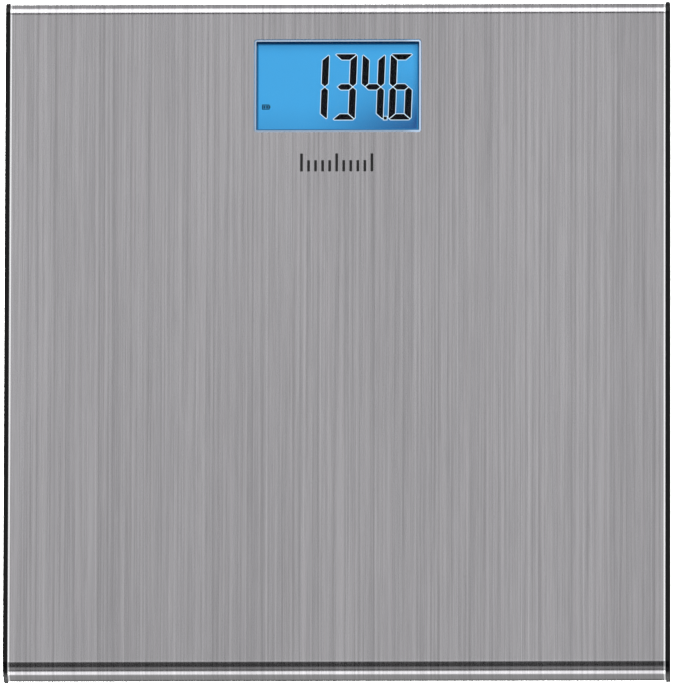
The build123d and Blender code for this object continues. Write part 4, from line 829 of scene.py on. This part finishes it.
sign = bmesh.new()
low, high = SIGN_MIDDLE - SIGN_HALF, SIGN_MIDDLE + SIGN_HALF
sign_boxes = [
    (low.x, low.y, high.x, low.y + SIGN_LINE),
    (low.x, high.y - SIGN_LINE, high.x, high.y),
    (low.x, low.y + SIGN_LINE, low.x + SIGN_LINE, high.y - SIGN_LINE),
    (high.x - SIGN_LINE, low.y + SIGN_LINE, high.x, high.y - SIGN_LINE),
    (high.x, SIGN_MIDDLE.y - SIGN_LINE, high.x + SIGN_LINE, SIGN_MIDDLE.y + SIGN_LINE),
]
inset = 1.5 * SIGN_LINE
for k in range(2):
    cell = low.x + SIGN_LINE * (1.6 + 3.0 * k)
    sign_boxes.append((cell, low.y + inset, cell + 2.0 * SIGN_LINE, high.y - inset))
for box in sign_boxes:
    add_plate(sign, box_outline(*box), bar_low, bar_low + BAR_THICK)
bmesh.ops.recalc_face_normals(sign, faces=sign.faces)
new_piece("battery_sign", sign, [dark_bar])
print("battery sign:", len(sign_boxes), "plates")

# %% [markdown]
# Below the window is a plain printed row of graduation ticks, tall at the ends and in the middle.
# It is screen-printed ink: a film a few hundredths of a millimetre thick, so it is made as thin
# plates with softened corners on the steel.

# %% Printed ticks
TICKS = 11
TICK_PITCH = 3.28 * MM
TICK_WIDTH = 1.25 * MM
TICK_TALL = 8.6 * MM
TICK_SHORT = 5.4 * MM
TICKS_Y = 83.0 * MM
TICKS_X = -0.4 * MM
TICK_CORNER = 0.25 * MM
TICK_CORNER_STEPS = 4
INK_THICK = 0.03 * MM
INK_LIFT = 0.002 * MM

ink = bmesh.new()
for k in range(TICKS):
    tall = k % (TICKS // 2) == 0
    height = TICK_TALL if tall else TICK_SHORT
    low_end = TICKS_Y - TICK_TALL / 2
    middle = ((k - TICKS // 2) * TICK_PITCH + TICKS_X, low_end + height / 2)
    outline = rounded_box(TICK_WIDTH / 2, height / 2, TICK_CORNER, TICK_CORNER_STEPS, middle)
    add_plate(ink, outline, skin_high.z + INK_LIFT, skin_high.z + INK_THICK)
bmesh.ops.recalc_face_normals(ink, faces=ink.faces)


def ink_look(wire):
    place = place_on(wire)
    weave = grain(wire, place, 2600.0, 2.0)
    return {
        "Base Color": blend(wire, weave, (0.006, 0.006, 0.007, 1), (0.014, 0.014, 0.015, 1)),
        "Roughness": 0.32 + 0.18 * weave,
        "Normal": raised(wire, weave, 0.00001, 0.4),
    }


ink_finish = finish("printed_ink", {}, ink_look)
new_piece("printed_ticks", ink, [ink_finish])
print("ticks:", TICKS)

# %% [markdown]
# The other pieces keep their CAD shape, which is right, and get finishes of their own. Moulded
# plastic has a spark-eroded grain, gentle clouds in its tone where the melt flowed, and a
# roughness that follows both. One recipe with a few sizes covers all the mouldings.

# %% Recipe for mouldings
def tone_pair(colour, spread):
    """A darker and a lighter version of one colour."""
    return [(*[min(1.0, c * share) for c in colour], 1) for share in (1 - spread, 1 + spread)]


def moulded(name, colour, roughness, grain_mm, depth, spread):
    """Moulded plastic with an eroded grain of one size and depth, in millimetres."""
    grain_size = grain_mm * MM

    def look(wire):
        place = place_on(wire)
        cell_sockets = {"Vector": place, "Scale": 1 / grain_size}
        cells = wire.node("ShaderNodeTexVoronoi", None, cell_sockets)
        soft = grain(wire, place, 0.6 / grain_size, 3.0)
        clouds = grain(wire, place, 35.0, 3.0)
        height = cells * 0.6 + soft * 0.4
        return {
            "Base Color": blend(wire, clouds * 0.6 + height * 0.4, *tone_pair(colour, spread)),
            "Roughness": roughness - 0.08 + 0.16 * clouds,
            "Normal": raised(wire, height, depth * MM, 0.6),
        }

    return finish(name, {}, look)


print("recipe for mouldings ready")

# %% [markdown]
# Rubber, foam and tape are dull and open, with dust in the pores. Ground and plated metals keep the
# marks of their tool, and the direction of the marks is a size of the recipe. Glass and clear
# plastic are almost plain, with faint wiping marks.

# %% Recipes for rubber, metal and glass
MARK_DEPTH = 0.004 * MM


def rubbery(name, colour, roughness):
    """Rubber: fine open texture, dusty where it is worn."""

    def look(wire):
        place = place_on(wire)
        pores = grain(wire, place, 3000.0, 4.0, 0.7)
        dust = eased(wire, grain(wire, place, 220.0, 4.0), 0.52, 0.75)
        return {
            "Base Color": blend(wire, dust * 0.5 + pores * 0.2, *tone_pair(colour, 0.35)),
            "Roughness": roughness + 0.1 * pores,
            "Normal": raised(wire, pores, 0.00004, 0.6),
        }

    return finish(name, {"Specular IOR Level": 0.3}, look)


def worked_metal(name, colour, roughness, lay):
    """Metal with fine marks; lay says how often they repeat per metre along each axis."""

    def look(wire):
        place = place_on(wire)
        marks = grain(wire, stretched(wire, place, lay), 1.0, 2.0)
        stain = grain(wire, place, 160.0, 4.0)
        return {
            "Base Color": blend(wire, marks * 0.5 + stain * 0.5, *tone_pair(colour, 0.14)),
            "Roughness": roughness + 0.14 * stain - 0.05 * marks,
            "Normal": raised(wire, marks, MARK_DEPTH, 0.6),
        }

    return finish(name, {"Metallic": 1.0}, look)


def glassy(name, tint, roughness):
    """Glass or clear plastic with faint wiping marks."""

    def look(wire):
        smear = grain(wire, stretched(wire, place_on(wire), (40.0, 160.0, 40.0)), 1.0, 3.0)
        colour = blend(wire, smear, *tone_pair(tint, 0.03))
        return {"Base Color": colour, "Roughness": roughness + 0.05 * smear}

    return finish(name, {"Transmission Weight": 0.9, "IOR": 1.5}, look)


print("recipes for rubber, metal and glass ready")

# %% [markdown]
# A circuit board is woven glass under green solder resist. Copper tracks show through as lighter
# lines, and a brick pattern of long, low bricks gives parallel lines with short links.

# %% Circuit board finish
TRACK_WIDTH = 0.22 * MM
TRACK_LENGTH = 6.2 * MM
TRACK_PITCH = 1.3 * MM


def board_look(wire):
    """Green solder resist with copper tracks that show through as lighter lines."""
    place = place_on(wire)
    bricks = {"offset": 0.5, "squash": 1.0}
    sockets = {
        "Vector": place, "Color1": (0.010, 0.085, 0.030, 1), "Color2": (0.014, 0.110, 0.040, 1),
        "Mortar": (0.030, 0.190, 0.080, 1), "Scale": 1.0, "Mortar Size": TRACK_WIDTH,
        "Brick Width": TRACK_LENGTH, "Row Height": TRACK_PITCH,
    }
    tracks = wire.node("ShaderNodeTexBrick", bricks, sockets)
    lines = wire.node("ShaderNodeTexBrick", bricks, sockets, output=BRICK_MORTAR)
    weave = grain(wire, place, 1600.0, 3.0)
    return {
        "Base Color": blend(wire, weave * 0.3, tracks, (0.02, 0.10, 0.05, 1)),
        "Roughness": 0.24 + 0.14 * weave,
        "Normal": raised(wire, lines * 0.6 + weave * 0.2, 0.00003, 0.5),
    }


board_finish = finish("board_green", {"Coat Weight": 0.3}, board_look)
print("circuit board finish ready")

# %% [markdown]
# The end caps are moulded in a glossy black plastic that is polished in the mould. A gloss this
# high shows the room, so the finish is mostly reflection: deep black, with only the faintest wave
# and hairline scratches. The shine is held low, so that the caps stay black beside the steel.

# %% Glossy cap finish
def cap_look(wire):
    place = place_on(wire)
    wave = grain(wire, place, 45.0, 2.0)
    hairs = grain(wire, stretched(wire, place, (300.0, 40.0, 2600.0)), 1.0, 2.0)
    scuff = eased(wire, hairs, 0.62, 0.78)
    return {
        "Base Color": blend(wire, wave, (0.0035, 0.0035, 0.0040, 1), (0.0065, 0.0065, 0.0070, 1)),
        "Roughness": 0.10 + 0.06 * wave + 0.10 * scuff,
        "Normal": raised(wire, wave * 0.8 + hairs * 0.02, 0.00003, 0.4),
    }


cap_finish = finish("black_gloss_cap", {"Specular IOR Level": 0.22}, cap_look)
print("glossy cap finish ready")

# %% [markdown]
# Batteries have a printed metal wrap with a bright end. Here the wrap is plain: a dark sleeve with
# one warm band at each end, found from the distance along the cell, and then the bare metal.

# %% Battery wrap finish
SLEEVE_END = 22.1 * MM
BAND_START = 11.0 * MM
PRINT_BLUR = 0.1 * MM


def wrap_look(wire):
    place = place_on(wire)
    x, _, _ = split(wire, place)
    far = abs(x)
    metal = eased(wire, far, SLEEVE_END, SLEEVE_END + PRINT_BLUR)
    band = eased(wire, far, BAND_START, BAND_START + PRINT_BLUR)
    print_grain = grain(wire, place, 900.0, 2.0)
    sleeve = blend(wire, band, (0.045, 0.052, 0.065, 1), (0.55, 0.30, 0.08, 1))
    toned = blend(wire, print_grain * 0.12, sleeve, (0.3, 0.3, 0.3, 1))
    return {
        "Base Color": blend(wire, metal, toned, (0.72, 0.72, 0.71, 1)),
        "Metallic": metal,
        "Roughness": 0.26 + 0.1 * print_grain,
        "Normal": raised(wire, print_grain, 0.00001, 0.3),
    }


wrap_finish = finish("battery_wrap", {"Coat Weight": 0.2}, wrap_look)
print("battery wrap finish ready")

# %% [markdown]
# Every piece of the CAD model names a slot, and pieces of the same stuff share one. So the finishes
# are made once for each slot, from tables of the recipes' sizes. They are then put on the objects
# and not on their meshes, which leaves the CAD meshes as they came.

# %% Finishes for every slot
MOULDINGS = {  # colour, roughness, grain in mm, depth of the grain in mm, spread of the tone
    "carrier_plastic": ((0.50, 0.50, 0.51), 0.55, 0.8, 0.02, 0.12),
    "base_plastic": ((0.030, 0.030, 0.033), 0.58, 0.7, 0.05, 0.25),
    "foot_plastic": ((0.040, 0.040, 0.044), 0.45, 0.5, 0.02, 0.2),
    "bracket_plastic": ((0.70, 0.69, 0.65), 0.5, 0.5, 0.015, 0.06),
    "tray_plastic": ((0.80, 0.80, 0.79), 0.45, 0.6, 0.01, 0.05),
    "component_black": ((0.018, 0.018, 0.019), 0.6, 0.12, 0.006, 0.3),
    "port_plastic": ((0.78, 0.75, 0.66), 0.45, 0.4, 0.01, 0.06),
    "button_plastic": ((0.42, 0.42, 0.43), 0.5, 0.35, 0.02, 0.1),
    "lead_sheath": ((0.36, 0.36, 0.37), 0.45, 0.3, 0.01, 0.1),
    "lead_red": ((0.50, 0.020, 0.016), 0.42, 0.3, 0.01, 0.12),
    "lead_black": ((0.016, 0.016, 0.018), 0.42, 0.3, 0.01, 0.2),
}
RUBBERS = {  # colour, roughness
    "foot_rubber": ((0.055, 0.055, 0.056), 0.8),
    "silicone": ((0.70, 0.70, 0.67), 0.4),
    "adhesive": ((0.75, 0.75, 0.72), 0.7),
    "contact_rubber": ((0.32, 0.12, 0.15), 0.6),
}
METALS = {  # colour, roughness, marks per metre along X, Y and Z
    "cell_steel": ((0.50, 0.49, 0.48), 0.30, (180.0, 2600.0, 900.0)),
    "component_grey": ((0.55, 0.55, 0.57), 0.32, (900.0, 900.0, 900.0)),
    "contact_metal": ((0.72, 0.71, 0.68), 0.22, (300.0, 300.0, 2400.0)),
    "screw_steel": ((0.62, 0.63, 0.66), 0.28, (1500.0, 1500.0, 1500.0)),
}
GLASSES = {  # tint, roughness
    "lcd_glass": ((0.90, 0.94, 0.96), 0.02),
    "light_guide": ((0.80, 0.90, 1.0), 0.18),
}
finishes = {
    "black_gloss_cap": cap_finish,
    "gasket_foam": gasket_finish,
    "lcd_face": display_finish,
    "board_green": board_finish,
    "battery_wrap": wrap_finish,
}
recipes = ((moulded, MOULDINGS), (rubbery, RUBBERS), (worked_metal, METALS), (glassy, GLASSES))
for recipe, table in recipes:
    for slot, sizes in table.items():
        finishes[slot] = recipe(slot, *sizes)
for part in record["subparts"]:
    if part["material_slot"] in finishes:
        for material_slot in frame["nodes"][part["node"]].material_slots:
            material_slot.link = "OBJECT"
            material_slot.material = finishes[part["material_slot"]]
print("finishes on the CAD pieces:", len(finishes))
